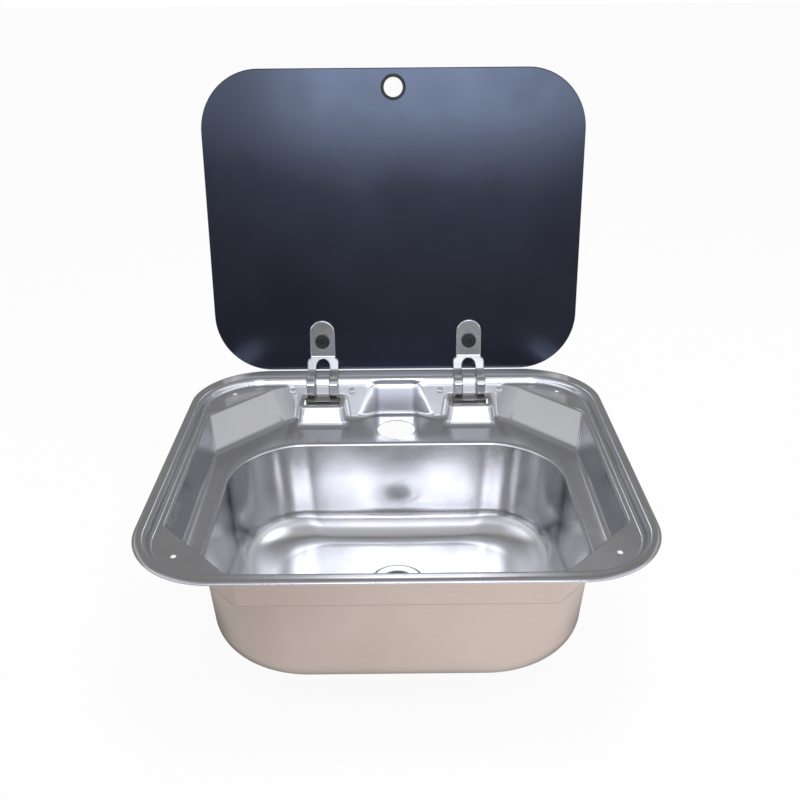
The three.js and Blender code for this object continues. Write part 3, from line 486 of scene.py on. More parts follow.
class Graph:
    """A node tree with short names for the sums it needs."""

    def __init__(self, tree):
        self.nodes, self.links = tree.nodes, tree.links

    def feed(self, value, socket):
        """Links an output to a socket, or sets a constant on it."""
        if hasattr(value, "links"):
            self.links.new(value, socket)
        else:
            socket.default_value = value

    def made(self, kind, *values, **settings):
        """The first output of a new node whose first inputs are fed with values."""
        node = self.nodes.new("ShaderNode" + kind)
        for key, setting in settings.items():
            setattr(node, key, setting)
        for value, socket in zip(values, node.inputs):
            self.feed(value, socket)
        return node.outputs[0]

    def axes(self, kind):
        """X, Y and Z of a texture coordinate."""
        place = self.nodes.new("ShaderNodeTexCoord").outputs[kind]
        split = self.nodes.new("ShaderNodeSeparateXYZ")
        self.links.new(place, split.inputs[0])
        return split.outputs

    def math(self, operation, *values):
        return self.made("Math", *values, operation=operation)

    def product(self, first, *others):
        for other in others:
            first = self.math("MULTIPLY", first, other)
        return first

    def ramp(self, value, low, high, start=0.35, end=0.65):
        """Runs straight from low to high while a value, such as a noise, goes from start to end."""
        return self.made("MapRange", value, start, end, low, high)

    def step(self, value, start, end, low=0.0, high=1.0):
        """Like ramp, with soft ends."""
        return self.made("MapRange", value, start, end, low, high, interpolation_type="SMOOTHSTEP")

    def band(self, value, start, full, fade, end):
        """1 between full and fade, and 0 outside start and end."""
        return self.product(self.step(value, start, full), self.step(value, fade, end, 1.0, 0.0))

    def mix(self, share, first, second):
        """A colour between two, of which either may be a tuple."""
        node = self.nodes.new("ShaderNodeMix")
        node.data_type = "RGBA"
        self.feed(share, node.inputs[0])
        for socket, colour in ((node.inputs[6], first), (node.inputs[7], second)):
            self.feed((*colour, 1) if isinstance(colour, tuple) else colour, socket)
        return node.outputs[2]

    def tinted(self, share, colour):
        node = self.nodes.new("ShaderNodeVectorMath")
        node.operation = "SCALE"
        node.inputs[0].default_value = colour
        self.feed(share, node.inputs["Scale"])
        return node.outputs[0]

    def total(self, first, *others):
        for other in others:
            first = self.made("VectorMath", first, other)
        return first


class Finish(Graph):
    """A procedural material built round one shader."""

    def __init__(self, name):
        self.material = bpy.data.materials.new(name)
        self.material.use_nodes = True
        super().__init__(self.material.node_tree)
        self.shader = self.nodes["Principled BSDF"]

    def set(self, **values):
        for key, value in values.items():
            self.shader.inputs[key.replace("_", " ")].default_value = value
        return self

    def into(self, value, socket):
        self.links.new(value, self.shader.inputs[socket])
        return self

    def noise(self, scale, detail=3, rough=0.5, stretch=(1, 1, 1)):
        """A noise with a scale in waves per metre."""
        mapping = self.nodes.new("ShaderNodeMapping")
        mapping.inputs["Scale"].default_value = stretch
        place = self.nodes.new("ShaderNodeTexCoord").outputs["Object"]
        self.links.new(place, mapping.inputs["Vector"])
        noise = self.nodes.new("ShaderNodeTexNoise")
        self.links.new(mapping.outputs["Vector"], noise.inputs["Vector"])
        for key, value in (("Scale", scale), ("Detail", detail), ("Roughness", rough)):
            noise.inputs[key].default_value = value
        return noise.outputs["Fac"]

    def within(self, low, high, blend=0.004):
        """1 inside a box given in metres, falling to 0 over a short distance outside it."""
        return self.product(*(
            self.ramp(value, 1, 0, edge, edge + way)
            for value, a, b in zip(self.axes("Object"), low, high)
            for edge, way in ((a, -blend), (b, blend))
        ))

    def bump(self, value, height):
        """Adds a relief of a height in millimetres."""
        node = self.nodes.new("ShaderNodeBump")
        node.inputs["Distance"].default_value = height * MM
        self.links.new(value, node.inputs["Height"])
        before = self.shader.inputs["Normal"]
        if before.is_linked:
            self.links.new(before.links[0].from_socket, node.inputs["Normal"])
        self.links.new(node.outputs["Normal"], before)


def steel(name, light, dark, rough, streak, relief, shade_zone=None):
    """Satin sheet: broad tone changes, faint rolling streaks and a slight waviness from drawing.

    A shade zone is a box in which painted shade darkens the sheet and it is rougher: its low and
    high corner, the painted shade's tint and added roughness.
    """
    finish = Finish(name).set(Metallic=1.0)
    tone = finish.mix(finish.ramp(finish.noise(9, 2), 0, 1), light, dark)
    streaks = finish.noise(60, 4, 0.6, stretch=(1, 26, 26))
    streak_tint = tuple(0.72 * part for part in dark)
    colour = finish.mix(finish.ramp(streaks, 0, streak), tone, streak_tint)
    smudges = finish.ramp(finish.noise(24, 4, 0.55), rough - 0.03, rough + 0.04)
    smudges = finish.math("ADD", smudges, finish.ramp(streaks, 0, 0.05))
    if shade_zone:
        low, high, tint, duller = shade_zone
        inside = finish.within(low, high)
        # Painted shade: inside the zone the colour goes to the zone's darker tint.
        colour = finish.mix(inside, colour, tint)
        smudges = finish.math("ADD", smudges, finish.ramp(inside, 0, duller, 0, 1))
    finish.into(colour, "Base Color").into(smudges, "Roughness")
    finish.bump(finish.noise(700, 2, 0.5, stretch=(0.1, 1, 1)), relief * 0.06)
    finish.bump(finish.noise(14, 1, 0.4), relief)
    return finish.material


def plain(name, light, dark, rough, fineness, relief, metallic=0.0):
    """Moulded or plated stock: a fine grain, with tone and roughness that vary a little."""
    finish = Finish(name).set(Metallic=metallic)
    clouds, patches = finish.noise(fineness / 12, 3), finish.noise(fineness / 5, 4)
    finish.into(finish.mix(finish.ramp(clouds, 0, 1), light, dark), "Base Color")
    finish.into(finish.ramp(patches, rough - 0.06, rough + 0.06), "Roughness")
    finish.bump(finish.noise(fineness, 3, 0.6), relief)
    return finish.material


def dark_glass():
    """Black enamelled tempered glass: faint haze and a slow wave in its face."""
    finish = Finish("black_glass").set(IOR=1.5, Specular_IOR_Level=0.68)
    # Painted blue cast: the blacks lean blue and the reflections are tinted blue, standing in for
    # cool light.
    finish.set(Specular_Tint=(0.645, 0.755, 1.0, 1.0))
    haze = finish.ramp(finish.noise(7, 3), 0, 1)
    finish.into(finish.mix(haze, (0.005, 0.005, 0.010), (0.008, 0.008, 0.014)), "Base Color")
    finish.into(finish.ramp(finish.noise(18, 4), 0.12, 0.17), "Roughness")
    finish.bump(finish.noise(11, 1), 0.02)
    return finish.material


# Painted shade: the niche's back panel is darker than the rest of the sheet, and rougher.
niche_panel_shade = ((-0.022, 0.149, -0.036), (0.022, 0.17, -0.010), (0.40, 0.39, 0.43), 0.16)
# Painted shade: the under face round the hinges, seen through the bosses' slots, is dark grey, and
# rougher.
hinge_backs_shade = ((-0.125, 0.115, -0.06), (0.125, 0.18, 0.01), (0.13, 0.125, 0.125), 0.1)
# Each has a light tone, a dark tone and a roughness, then streak or fineness, and relief.
inside_steel_painted_shade = steel(
    "satin_steel_inside_painted_shade", (0.69, 0.69, 0.705), (0.65, 0.65, 0.665), 0.165, 0.05, 0.004, niche_panel_shade
)
# The outer face's warm beige tones stand in for warm surroundings that it mirrors: a painted
# reflection. Its hinge zone is painted shade.
outside_steel_painted_light = steel(
    "satin_steel_outside_painted_light", (0.64, 0.535, 0.485), (0.60, 0.49, 0.44), 0.30, 0.12, 0.02, hinge_backs_shade
)
PLAIN = {
    "zinc_steel": ((0.60, 0.60, 0.61), (0.50, 0.50, 0.52), 0.36, 900, 0.01, 1.0),
    "black_plastic": ((0.022, 0.022, 0.024), (0.012, 0.012, 0.013), 0.38, 1500, 0.02),
    "black_rubber": ((0.03, 0.03, 0.031), (0.02, 0.02, 0.021), 0.62, 1300, 0.02),
    "grey_plastic": ((0.33, 0.33, 0.34), (0.27, 0.27, 0.28), 0.45, 1200, 0.02),
}
MATERIALS = {name: plain(name, *values) for name, values in PLAIN.items()}
MATERIALS["black_glass"] = dark_glass()
MATERIALS["bright_steel"] = steel(
    "polished_steel", (0.70, 0.70, 0.71), (0.62, 0.62, 0.63), 0.14, 0.06, 0.02
)


# ---- Small pieces ----

ARC_STEP = math.radians(12)


def right_of(run):
    return np.array([run[1], -run[0]])


def fine_path(corners, radius, closed=False):
    """Points and normals to the right along a path whose corners are arcs."""
    count = len(corners)
    made = []
    for i, corner in enumerate(corners):
        if not closed and i in (0, count - 1):
            run = corners[1] - corners[0] if i == 0 else corner - corners[i - 1]
            made.append((corner, right_of(run) / np.linalg.norm(run)))
            continue
        before = corner - corners[i - 1]
        after = corners[(i + 1) % count] - corner
        room = 0.45 * min(np.linalg.norm(before), np.linalg.norm(after))
        before, after = (v / np.linalg.norm(v) for v in (before, after))
        bend = math.atan2(before[0] * after[1] - before[1] * after[0], before @ after)
        reach = min(radius * math.tan(abs(bend) / 2), room)
        curve = reach / math.tan(abs(bend) / 2) if abs(bend) > 1e-6 else 0
        side = math.copysign(1, bend) * np.array([-before[1], before[0]])
        centre = corner - before * reach + side * curve
        steps = max(1, math.ceil(abs(bend) / ARC_STEP))
        for step in range(steps + 1):
            turn = bend * step / steps
            cos, sin = math.cos(turn), math.sin(turn)
            spin = np.array([[cos, -sin], [sin, cos]])
            made.append((centre - spin @ side * curve, right_of(spin @ before)))
    return made


def turned(profile, radius=0.3, closed=False, turns=72):
    """A turned piece about Z from (radius, height) corners, anticlockwise, with rounded edges."""
    made = fine_path([np.array(corner, float) for corner in profile], radius, closed)
    angles = np.linspace(0, 2 * math.pi, turns, endpoint=False)
    cos, sin = np.cos(angles), np.sin(angles)
    points, normals = (
        np.concatenate([np.stack([at[0] * cos, at[0] * sin, at[1] + 0 * angles], 1) for at in track])
        for track in zip(*made)
    )
    on_axis = [point[0] < 1e-6 for point, _ in made]
    rings = len(made)
    faces = []
    for ring in range(rings if closed else rings - 1):
        after = (ring + 1) % rings
        for i in range(turns):
            j = (i + 1) % turns
            a, b, c, d = ring * turns + i, ring * turns + j, after * turns + j, after * turns + i
            if on_axis[ring]:
                faces.append((ring * turns, c, d, d))
            elif on_axis[after]:
                faces.append((a, b, after * turns, after * turns))
            else:
                faces.append((a, b, c, d))
    return points, normals, faces


def carved(field, low, high, cell, share=0.5):
    """A piece from a distance field."""
    corners, faces = net(field, low, high, cell)
    corners, _ = settle(field, corners, cell)
    corners, faces = thinned(corners, faces, share)
    corners, normals = settle(field, corners, cell / 2, grain(6))
    return corners, normals, faces


def piece(name, parts, place, body, slot, node):
    """One object from several meshes, placed in millimetres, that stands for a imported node."""
    points, normals, faces = [], [], []
    for part_points, part_normals, part_faces in parts:
        first = sum(len(chunk) for chunk in points)
        points.append(part_points)
        normals.append(part_normals)
        faces += [tuple(dict.fromkeys(first + int(i) for i in face)) for face in part_faces]
    turn = np.array(place.to_3x3())
    points = np.concatenate(points) @ turn.T + np.array(place.translation)
    normals = np.concatenate(normals) @ turn.T
    made = new_object(name, points, faces, body, [MATERIALS[slot]])
    made.data.normals_split_custom_set_from_vertices(unit(normals).tolist())
    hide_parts(node)


def softened(name, node, body, slot, width):
    """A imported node's solid with its edges rounded off."""
    made = linked(name, frame["nodes"][node].data.copy())
    made.data.materials.clear()
    made.data.materials.append(MATERIALS[slot])
    merge = made.modifiers.new("merge", "WELD")
    merge.merge_threshold = 0.00002
    bevel = made.modifiers.new("bevel", "BEVEL")
    bevel.width = width * MM
    bevel.segments = 3
    bevel.limit_method = "ANGLE"
    bevel.angle_limit = math.radians(32)
    bevel.harden_normals = True
    smooth(made.data)
    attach(made, body)
    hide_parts(node)


def shift(x, y, z):
    return Matrix.Translation(Vector((x, y, z)))


closed_lid = shift(*PIVOT) @ Matrix.Rotation(-OPEN, 4, "X")


def on_lid(x, y):
    return closed_lid @ shift(x, y, 0)


# Heights and places below are of the closed lid, measured from the hinge pins.
GLASS_UNDER, GLASS_TOP = 16.44, 21.44
GLASS = {"side": 194, "front": 333.8, "back": -25.0}
GLASS_CORNER = 60
GLASS_EDGE = 0.9
BUSH_HOLE = 5.2
FINGER_HOLE = 11.1
FINGER_Y = -315.8
CLAMP_Y = -57.77
LINE_Y = -24.77  # at the glass's edge, where the tongues are measured from
STRAP_HALF, GAP_HALF, TONGUE_HALF = 16.7, 7.3, 13.3
STRAP_THICK = 3
STRAP_BEND = 5.6
STRAP_EDGE = 0.9
TONGUE_MIDDLE = 13.54
TONGUE_TIP = LINE_Y - 55.6
TONGUE_ROOT = LINE_Y - 15.4
EYE, BORE = 5, 3.3
WEB_MIDDLE, WEB_HALF = 11.85, 4.25  # the web between the legs that meets the stop
CLEAR = 0.3


def glass_outline(inset, steps=28):
    """The lid's outline, anticlockwise."""
    corner = GLASS_CORNER - inset
    middle = (GLASS["back"] - GLASS["front"]) / 2
    half = (GLASS["back"] + GLASS["front"]) / 2
    reach_x, reach_y = GLASS["side"] - inset - corner, half - inset - corner
    points = []
    for quarter, (sx, sy) in enumerate(((1, -1), (1, 1), (-1, 1), (-1, -1))):
        for step in range(steps + 1):
            turn = math.radians(-90 + 90 * (quarter + step / steps))
            x = sx * reach_x + corner * math.cos(turn)
            points.append((x, middle + sy * reach_y + corner * math.sin(turn)))
    return np.array(points)


def hole_outline(x, y, radius, count=48):
    """A hole's edge, clockwise, so that its wall faces into the hole."""
    turn = -np.linspace(0, 2 * math.pi, count, endpoint=False)
    way = np.stack([np.cos(turn), np.sin(turn)], 1)
    return lambda inset: np.array([x, y]) + (radius + inset) * way


def ground_edge():
    """Inset, height and tilt along the glass's rounded edge, from its under face to its top."""
    edge = []
    for first, middle in ((-90, GLASS_UNDER + GLASS_EDGE), (0, GLASS_TOP - GLASS_EDGE)):
        for step in range(5):
            tilt = math.radians(first + 90 * step / 4)
            inset = GLASS_EDGE * (1 - math.cos(tilt))
            edge.append((inset, middle + GLASS_EDGE * math.sin(tilt), tilt))
    return edge


def glass_plate():
    """The glass with its edges ground round, drawn as rings round the outline and each hole."""
    edge = ground_edge()
    outlines = [glass_outline, hole_outline(0, FINGER_Y, FINGER_HOLE)]
    outlines += [hole_outline(x, CLAMP_Y, BUSH_HOLE) for x in HINGES.values()]
    points, normals, faces = [], [], []
    rims = ([], [])
    for outline in outlines:
        count = len(outline(0))
        start = sum(len(chunk) for chunk in points)
        outward = unit(outline(0) - outline(1))
        for inset, z, tilt in edge:
            points.append(np.column_stack([outline(inset), np.full(count, z)]))
            up = np.full(count, math.sin(tilt))
            normals.append(np.column_stack([outward * math.cos(tilt), up]))
        for ring in range(len(edge) - 1):
            for i in range(count):
                j = (i + 1) % count
                low, high = start + ring * count, start + (ring + 1) * count
                faces.append((low + i, low + j, high + j, high + i))
        rims[0].append([start + i for i in range(count)])
        rims[1].append([start + (len(edge) - 1) * count + i for i in range(count)])
    points, normals = np.concatenate(points), np.concatenate(normals)
    for side, rim in enumerate(rims):
        filled = tessellate_polygon([[Vector(points[i]) for i in loop] for loop in rim])
        flat = [i for loop in rim for i in loop]
        for triangle in filled:
            a, b, c = (flat[i] for i in triangle)
            up = np.cross(points[b] - points[a], points[c] - points[a])[2]
            faces.append((a, b, c, c) if (up > 0) == (side == 1) else (a, c, b, b))
    return points, normals, faces


def strap_corners():
    """The strap's middle line from eye to tongue, its arm given as it stands when open."""
    cos, sin = math.cos(OPEN), math.sin(OPEN)
    arm = [(0, 0), (-14.5, 0), (-14.5, 23.8), (9, 23.8)]
    corners = [np.array([y * cos - z * sin, y * sin + z * cos]) for y, z in arm]
    return [*corners, *(np.array([y, TONGUE_MIDDLE]) for y in (TONGUE_ROOT, TONGUE_TIP - 1))]


strap_path = fine_path(strap_corners(), STRAP_BEND)


def strap_field(x, y, z):
    """The bent strap: a band along its path, cut to its outline, with eyes and a stop web."""
    path = [p for p, _ in strap_path]
    near = np.full(np.broadcast(y, z).shape, 1e9)
    for (ay, az), (by, bz) in zip(path, path[1:]):
        run_y, run_z = by - ay, bz - az
        share = ((y - ay) * run_y + (z - az) * run_z) / (run_y**2 + run_z**2)
        share = np.clip(share, 0, 1)
        near = np.minimum(near, np.hypot(y - ay - share * run_y, z - az - share * run_z))
    band = near - STRAP_THICK / 2
    tip = np.hypot(x, np.minimum(y - TONGUE_TIP - TONGUE_HALF, 0)) - TONGUE_HALF
    legs = sharp_max(np.abs(x) - STRAP_HALF, TONGUE_ROOT + 1 - y, 4)
    outline = soft_min(tip, legs, 0.6)
    top = TONGUE_ROOT + 2 + GAP_HALF
    arch = GAP_HALF - np.hypot(x, np.minimum(y - top, 0))
    whole = sharp_max(sharp_max(band, outline, STRAP_EDGE), arch, STRAP_EDGE)
    eye = sharp_max(np.hypot(y, z) - EYE, np.abs(x) - STRAP_HALF, 0.5)
    eye = sharp_max(eye, GAP_HALF - np.abs(x), 0.5)
    whole = soft_min(whole, eye, 1)
    turn_y, turn_z = math.cos(OPEN), math.sin(OPEN)
    along, over = y * turn_y + z * turn_z, z * turn_y - y * turn_z
    web = sharp_max(np.abs(along + WEB_MIDDLE) - WEB_HALF, np.abs(over) - STRAP_THICK / 2, 0.5)
    whole = np.minimum(whole, np.maximum(web, np.abs(x) - GAP_HALF - 1))
    whole = np.maximum(whole, BORE - np.hypot(y, z))
    return np.maximum(whole, BORE - np.hypot(x, y - CLAMP_Y))


def screw_field(x, y, z):
    """A round-edged head with a ring groove and a hexagon socket, and its shank."""
    bottom, top, tip = 8.34, 11.74, 25.6
    out = np.hypot(x, y)
    head = sharp_max(sharp_max(out - 7.9, bottom - z, 1.3), z - top, 0.3)
    groove = np.hypot(out - 5.3, z - bottom) - 0.45
    hexagon = np.maximum(np.abs(x), np.abs(x) / 2 + np.abs(y) * math.sqrt(3) / 2) - 2.5
    socket = np.maximum(hexagon, z - (top - 1.2))
    head = sharp_max(sharp_max(head, -groove, 0.2), -socket, 0.3)
    return np.minimum(head, np.maximum(out - 3, np.maximum(top - 1 - z, z - tip)))


def strainer_field(x, y, z):
    """Six spokes and a hub with a bore."""
    hub, reach, bore, spoke_half = 5, 15, 2.8, 1.2
    out = np.hypot(x, y)
    bars = np.full(np.broadcast(x, y).shape, 1e9)
    for step in range(3):
        turn = math.radians(60 * step)
        bars = np.minimum(bars, np.abs(x * math.sin(turn) - y * math.cos(turn)) - spoke_half)
    bars = soft_min(bars, out - hub, 1)
    bars = np.maximum(np.maximum(bars, out - reach), bore - out)
    return sharp_max(bars, np.abs(z + 4.4) - 0.6, 0.35)


def slotted_head(x, y, z):
    """The waste screw's domed head with its slot."""
    dome = np.sqrt(x**2 + y**2 + (z + 8.1) ** 2) - 6.8
    head = sharp_max(sharp_max(np.hypot(x, y) - 4.4, dome, 0.3), -3.5 - z, 0.2)
    slot = np.maximum(np.abs(y) - 0.5, -2.3 - z)
    return sharp_max(head, -slot, 0.12)


def rib_field(x, y, z):
    """The bar across the waste cup that the screw goes into."""
    bar = sharp_max(np.abs(y) - 2, np.abs(z + 16.3) - 3.5, 0.4)
    return np.maximum(np.maximum(bar, np.abs(x) - 22.6), 3 - np.hypot(x, y))


# ---- Pieces: profiles of turned pieces are (radius, height) corners ----

sink = sheet_object(
    "sink_sheet", sink_surface(), "sink", [inside_steel_painted_shade, outside_steel_painted_light]
)
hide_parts("sink_pressing")

piece("lid_glass", [glass_plate()], closed_lid, "lid", "black_glass", "glass_lid")

RING_LIP = 1.4
low, high = GLASS_UNDER - CLEAR - RING_LIP, GLASS_TOP + CLEAR + RING_LIP
ring = [(9.5, low), (12.5, low), (12.5, low + RING_LIP), (10.8, low + RING_LIP)]
ring += [(10.8, high - RING_LIP), (12.5, high - RING_LIP), (12.5, high), (9.5, high)]
ring = turned(ring, 0.55, closed=True)
piece("finger_ring", [ring], on_lid(0, FINGER_Y), "lid", "black_rubber", "finger_grommet")

fine = grain(0.6)
strap = carved(strap_field, (-18, -83, -22), (18, 7, 17), fine, 0.45)
screw = carved(screw_field, (-9, -9, 7), (9, 9, 27), fine, 0.6)
BUSH_FLANGE = 1
cap_low = GLASS_TOP + 2 * CLEAR + BUSH_FLANGE
cap_high = cap_low + 4.2
cap = turned([(BORE, cap_low), (9, cap_low), (9, cap_high), (0, cap_high)], 1.6)
bush_low, bush_high = GLASS_UNDER + CLEAR, GLASS_TOP + CLEAR
bush = [(BORE, bush_low), (4.9, bush_low), (4.9, bush_high), (9.5, bush_high)]
bush += [(9.5, bush_high + BUSH_FLANGE), (BORE, bush_high + BUSH_FLANGE)]
bush = turned(bush, 0.25, closed=True)
rivet = [(0, -1.9), (1.6, -1.8), (3.4, -0.9), (3.4, -0.3), (2, -0.3), (2, 2.82)]
rivet = turned([*rivet, (2.8, 2.82), (2.8, 3.4), (2, 4), (0, 4)], 0.5, turns=40)
face = 19  # the pin's head bears here on one side, its clip on the other
pin = [(0, -face - 1.2), (5, -face - 1.2), (5, -face), (3, -face), (3, face), (2.3, face)]
pin = turned([*pin, (2.3, face + 1.2), (3, face + 1.2), (3, 22.1), (0, 22.1)], 0.3, turns=40)
sleeve = turned([(BORE, -7), (4.6, -7), (4.6, 7), (BORE, 7)], 0.3, closed=True, turns=40)

RIVET_DEPTH, RIVET_REACH = 13.5, 31.5
wall_height = DECK_DEPTH - SEAT_DEPTH
back_tilt = math.atan2(DRAFT_BACK, wall_height)
rivet_y = WELL["back"] - SEAT_BACK - DRAFT_BACK * (RIVET_DEPTH - SEAT_DEPTH) / wall_height

for side, x in HINGES.items():
    outer = math.copysign(1, x)
    for node, name, made, y, slot in (
        ("hinge_strap", "strap", strap, 0, "bright_steel"),
        ("clamp_screw", "screw", screw, CLAMP_Y, "black_plastic"),
        ("clamp_bush", "bush", bush, CLAMP_Y, "black_plastic"),
        ("clamp_cap", "cap", cap, CLAMP_Y, "black_plastic"),
    ):
        piece(f"{name}_{side}", [made], on_lid(x, y), "lid", slot, f"{node}_{side}")
    sideways = shift(x, PIVOT[1], PIVOT[2]) @ Matrix.Rotation(math.pi / 2 * outer, 4, "Y")
    sideways = sideways @ Matrix.Rotation(math.pi, 4, "X")
    piece(f"pin_{side}", [pin], sideways, "sink", "zinc_steel", f"hinge_pin_{side}")
    piece(f"sleeve_{side}", [sleeve], sideways, "sink", "bright_steel", f"pin_sleeve_{side}")
    for place, way in (("outer", outer), ("inner", -outer)):
        at = shift(x + way * RIVET_REACH, rivet_y, level(RIVET_DEPTH))
        at = at @ Matrix.Rotation(-math.pi / 2 - back_tilt, 4, "X")
        name, node = f"rivet_head_{side}_{place}", f"rivet_{side}_{place}"
        piece(name, [rivet], at, "sink", "bright_steel", node)
    softened(f"base_{side}", f"hinge_base_{side}", "sink", "zinc_steel", 0.35)
    softened(f"clip_{side}", f"pin_clip_{side}", "sink", "zinc_steel", 0.2)
    softened(f"pad_{side}", f"strap_pad_{side}", "lid", "black_rubber", 0.25)

drain = shift(0, DRAIN_Y, level(BOWL_DEPTH))
flange = [(17, 0), (25, 0), (25, 1.2), (17, 1.2), (16, -3.8)]
flange = turned([*flange, (14, -3.8), (14, -5), (17, -5), (17.6, -1.2)], 0.5, closed=True)
fine = grain(0.45)
strainer = carved(strainer_field, (-16, -16, -6), (16, 16, -3), fine)
piece("drain_flange", [flange, strainer], drain, "sink", "bright_steel", "waste_flange")
for name, node, rings in (
    ("drain_seal", "waste_seal", [(21, -1.3), (24, -1.3), (24, -0.3), (21, -0.3)]),
    ("drain_gasket", "waste_gasket", [(20, -5.1), (25, -5.1), (25, -2.7), (20, -2.7)]),
):
    piece(name, [turned(rings, 0.35, closed=True)], drain, "sink", "black_rubber", node)
shank = turned([(0, -17.3), (2.5, -17.3), (2.5, -3.4), (0, -3.4)], 0.3, turns=32)
head = carved(slotted_head, (-5, -5, -4), (5, 5, -0.5), fine * 0.7, 0.7)
piece("drain_screw", [shank, head], drain, "sink", "bright_steel", "waste_screw")

hose_end, cup_floor, cup_top = -43.4, -22.4, -5.4
barb = [(12.5, 0), (13.5, 4), (12.5, 4.6)]
barbs = [(radius, hose_end + 9 * i + up) for i in (0, 1) for radius, up in barb]
cup = [(10, hose_end), *barbs, (12.5, cup_floor - 2.6), (19, cup_floor), (25, cup_floor + 6)]
cup += [(25, cup_top - 3), (27, cup_top - 3), (27, cup_top), (22.4, cup_top)]
cup = turned([*cup, (22.4, -13.8), (16.4, -19.8), (10, cup_floor)], 0.5, closed=True)
post = [(2.8, -19.8), (4.8, -19.8), (4.8, -8.4), (2.8, -8.4)]
post = turned(post, 0.3, closed=True, turns=32)
rib = carved(rib_field, (-23.5, -3, -21), (23.5, 3, -12), grain(0.6))
piece("drain_body", [cup, post, rib], drain, "sink", "grey_plastic", "waste_body")


# ---- Studio, in metres ----

FLOOR_HALF, FLOOR_GAP = 12, 0.0005
FLOOR_GLOW = 0.93
# Shares of that glow that mirroring pieces see at the left, far off, behind and below the sink:
# painted shade in the floor's reflections, and below the sink a painted shadow.
LEFT_FLOOR, FAR_FLOOR, BACK_FLOOR, SHADED_FLOOR = 0.62, 0.30, 0.42, 0.12

# The window's brightness in front of the sink, against the sine of the height above the horizon.
WINDOW = [
    (0.00, 0.20), (0.06, 0.35), (0.11, 1.1), (0.165, 5.8), (0.22, 6.0), (0.31, 2.0), (0.42, 0.5),
    (0.53, 0.6), (0.62, 1.0), (0.70, 1.3), (0.78, 1.5), (0.83, 0.6), (0.90, 0.30), (1.00, 0.28),
]
WINDOW_TINT = (0.93, 0.99, 1.12)
PANE = (-0.17, -0.08, 0.10, 0.30)  # the bright pane's sides, as slopes to the left and right
OUTSIDE_PANE = 0.30
BACK_PANE = (-0.20, 0.02, 0.08, 0.22)  # the same for the light behind the sink, and its heights
BACK_HEIGHTS = (0.50, 0.64, 0.75, 0.95)
BACK_GLOW, BACK_TINT = 2.4, (0.98, 0.99, 1.05)
SIDE_HEIGHTS = (0.26, 0.36, 0.50, 0.62)
SIDE_GLOW, SIDE_TINT = 0.32, (1.0, 0.99, 0.97)
AMBIENT, AMBIENT_TINT = 0.26, (1.0, 0.98, 0.98)
LAMP_TINT = (0.95, 0.98, 1.05)


def floor():
    """A pale floor, nearly white to the camera, with the sink's shadow, dimmer in reflections."""
    mesh = bpy.data.meshes.new("floor")
    height = cad_box[0].z - FLOOR_GAP
    square = ((-1, -1), (1, -1), (1, 1), (-1, 1))
    corners = [(x * FLOOR_HALF, y * FLOOR_HALF, height) for x, y in square]
    mesh.from_pydata(corners, [], [(0, 1, 2, 3)])
    linked("floor", mesh)
    graph = Finish("floor")
    graph.set(Base_Color=(0.92, 0.92, 0.92, 1), Roughness=0.9, Specular_IOR_Level=0.1)
    path = graph.nodes.new("ShaderNodeLightPath").outputs
    mirrored = graph.math("MAXIMUM", path["Is Glossy Ray"], path["Is Transmission Ray"])
    seen = graph.math("MAXIMUM", path["Is Camera Ray"], mirrored)
    x, y, _ = graph.axes("Object")
    reach = graph.math("SQRT", graph.math("ADD", graph.product(x, x), graph.product(y, y)))
    shade = graph.product(graph.step(reach, 0.32, 0.18), graph.step(y, -0.20, -0.05))
    shine = graph.product(
        graph.step(x, -0.30, 0.12, LEFT_FLOOR, 1.0),
        graph.step(reach, 0.6, 1.5, 1.0, FAR_FLOOR),
        graph.step(shade, 0.0, 1.0, 1.0, SHADED_FLOOR),
        graph.step(y, 0.05, 0.4, 1.0, BACK_FLOOR),
    )
    glow = graph.nodes.new("ShaderNodeEmission")
    graph.feed(graph.math("MAXIMUM", path["Is Camera Ray"], shine), glow.inputs["Strength"])
    share = graph.product(seen, FLOOR_GLOW)
    surface = graph.made("MixShader", share, graph.shader.outputs[0], glow.outputs[0])
    graph.feed(surface, graph.nodes["Material Output"].inputs["Surface"])
    mesh.materials.append(graph.material)


def window_profile(graph, up):
    """The window's brightness at a height, from a curve."""
    strongest = max(value for _, value in WINDOW)
    profile = graph.nodes.new("ShaderNodeFloatCurve")
    curve = profile.mapping.curves[0]
    for at, value in WINDOW[1:-1]:
        curve.points.new(at, value / strongest)
    for end in (0, -1):
        curve.points[end].location = (WINDOW[end][0], WINDOW[end][1] / strongest)
    profile.mapping.update()
    graph.feed(up, profile.inputs["Value"])
    return graph.product(profile.outputs[0], strongest)


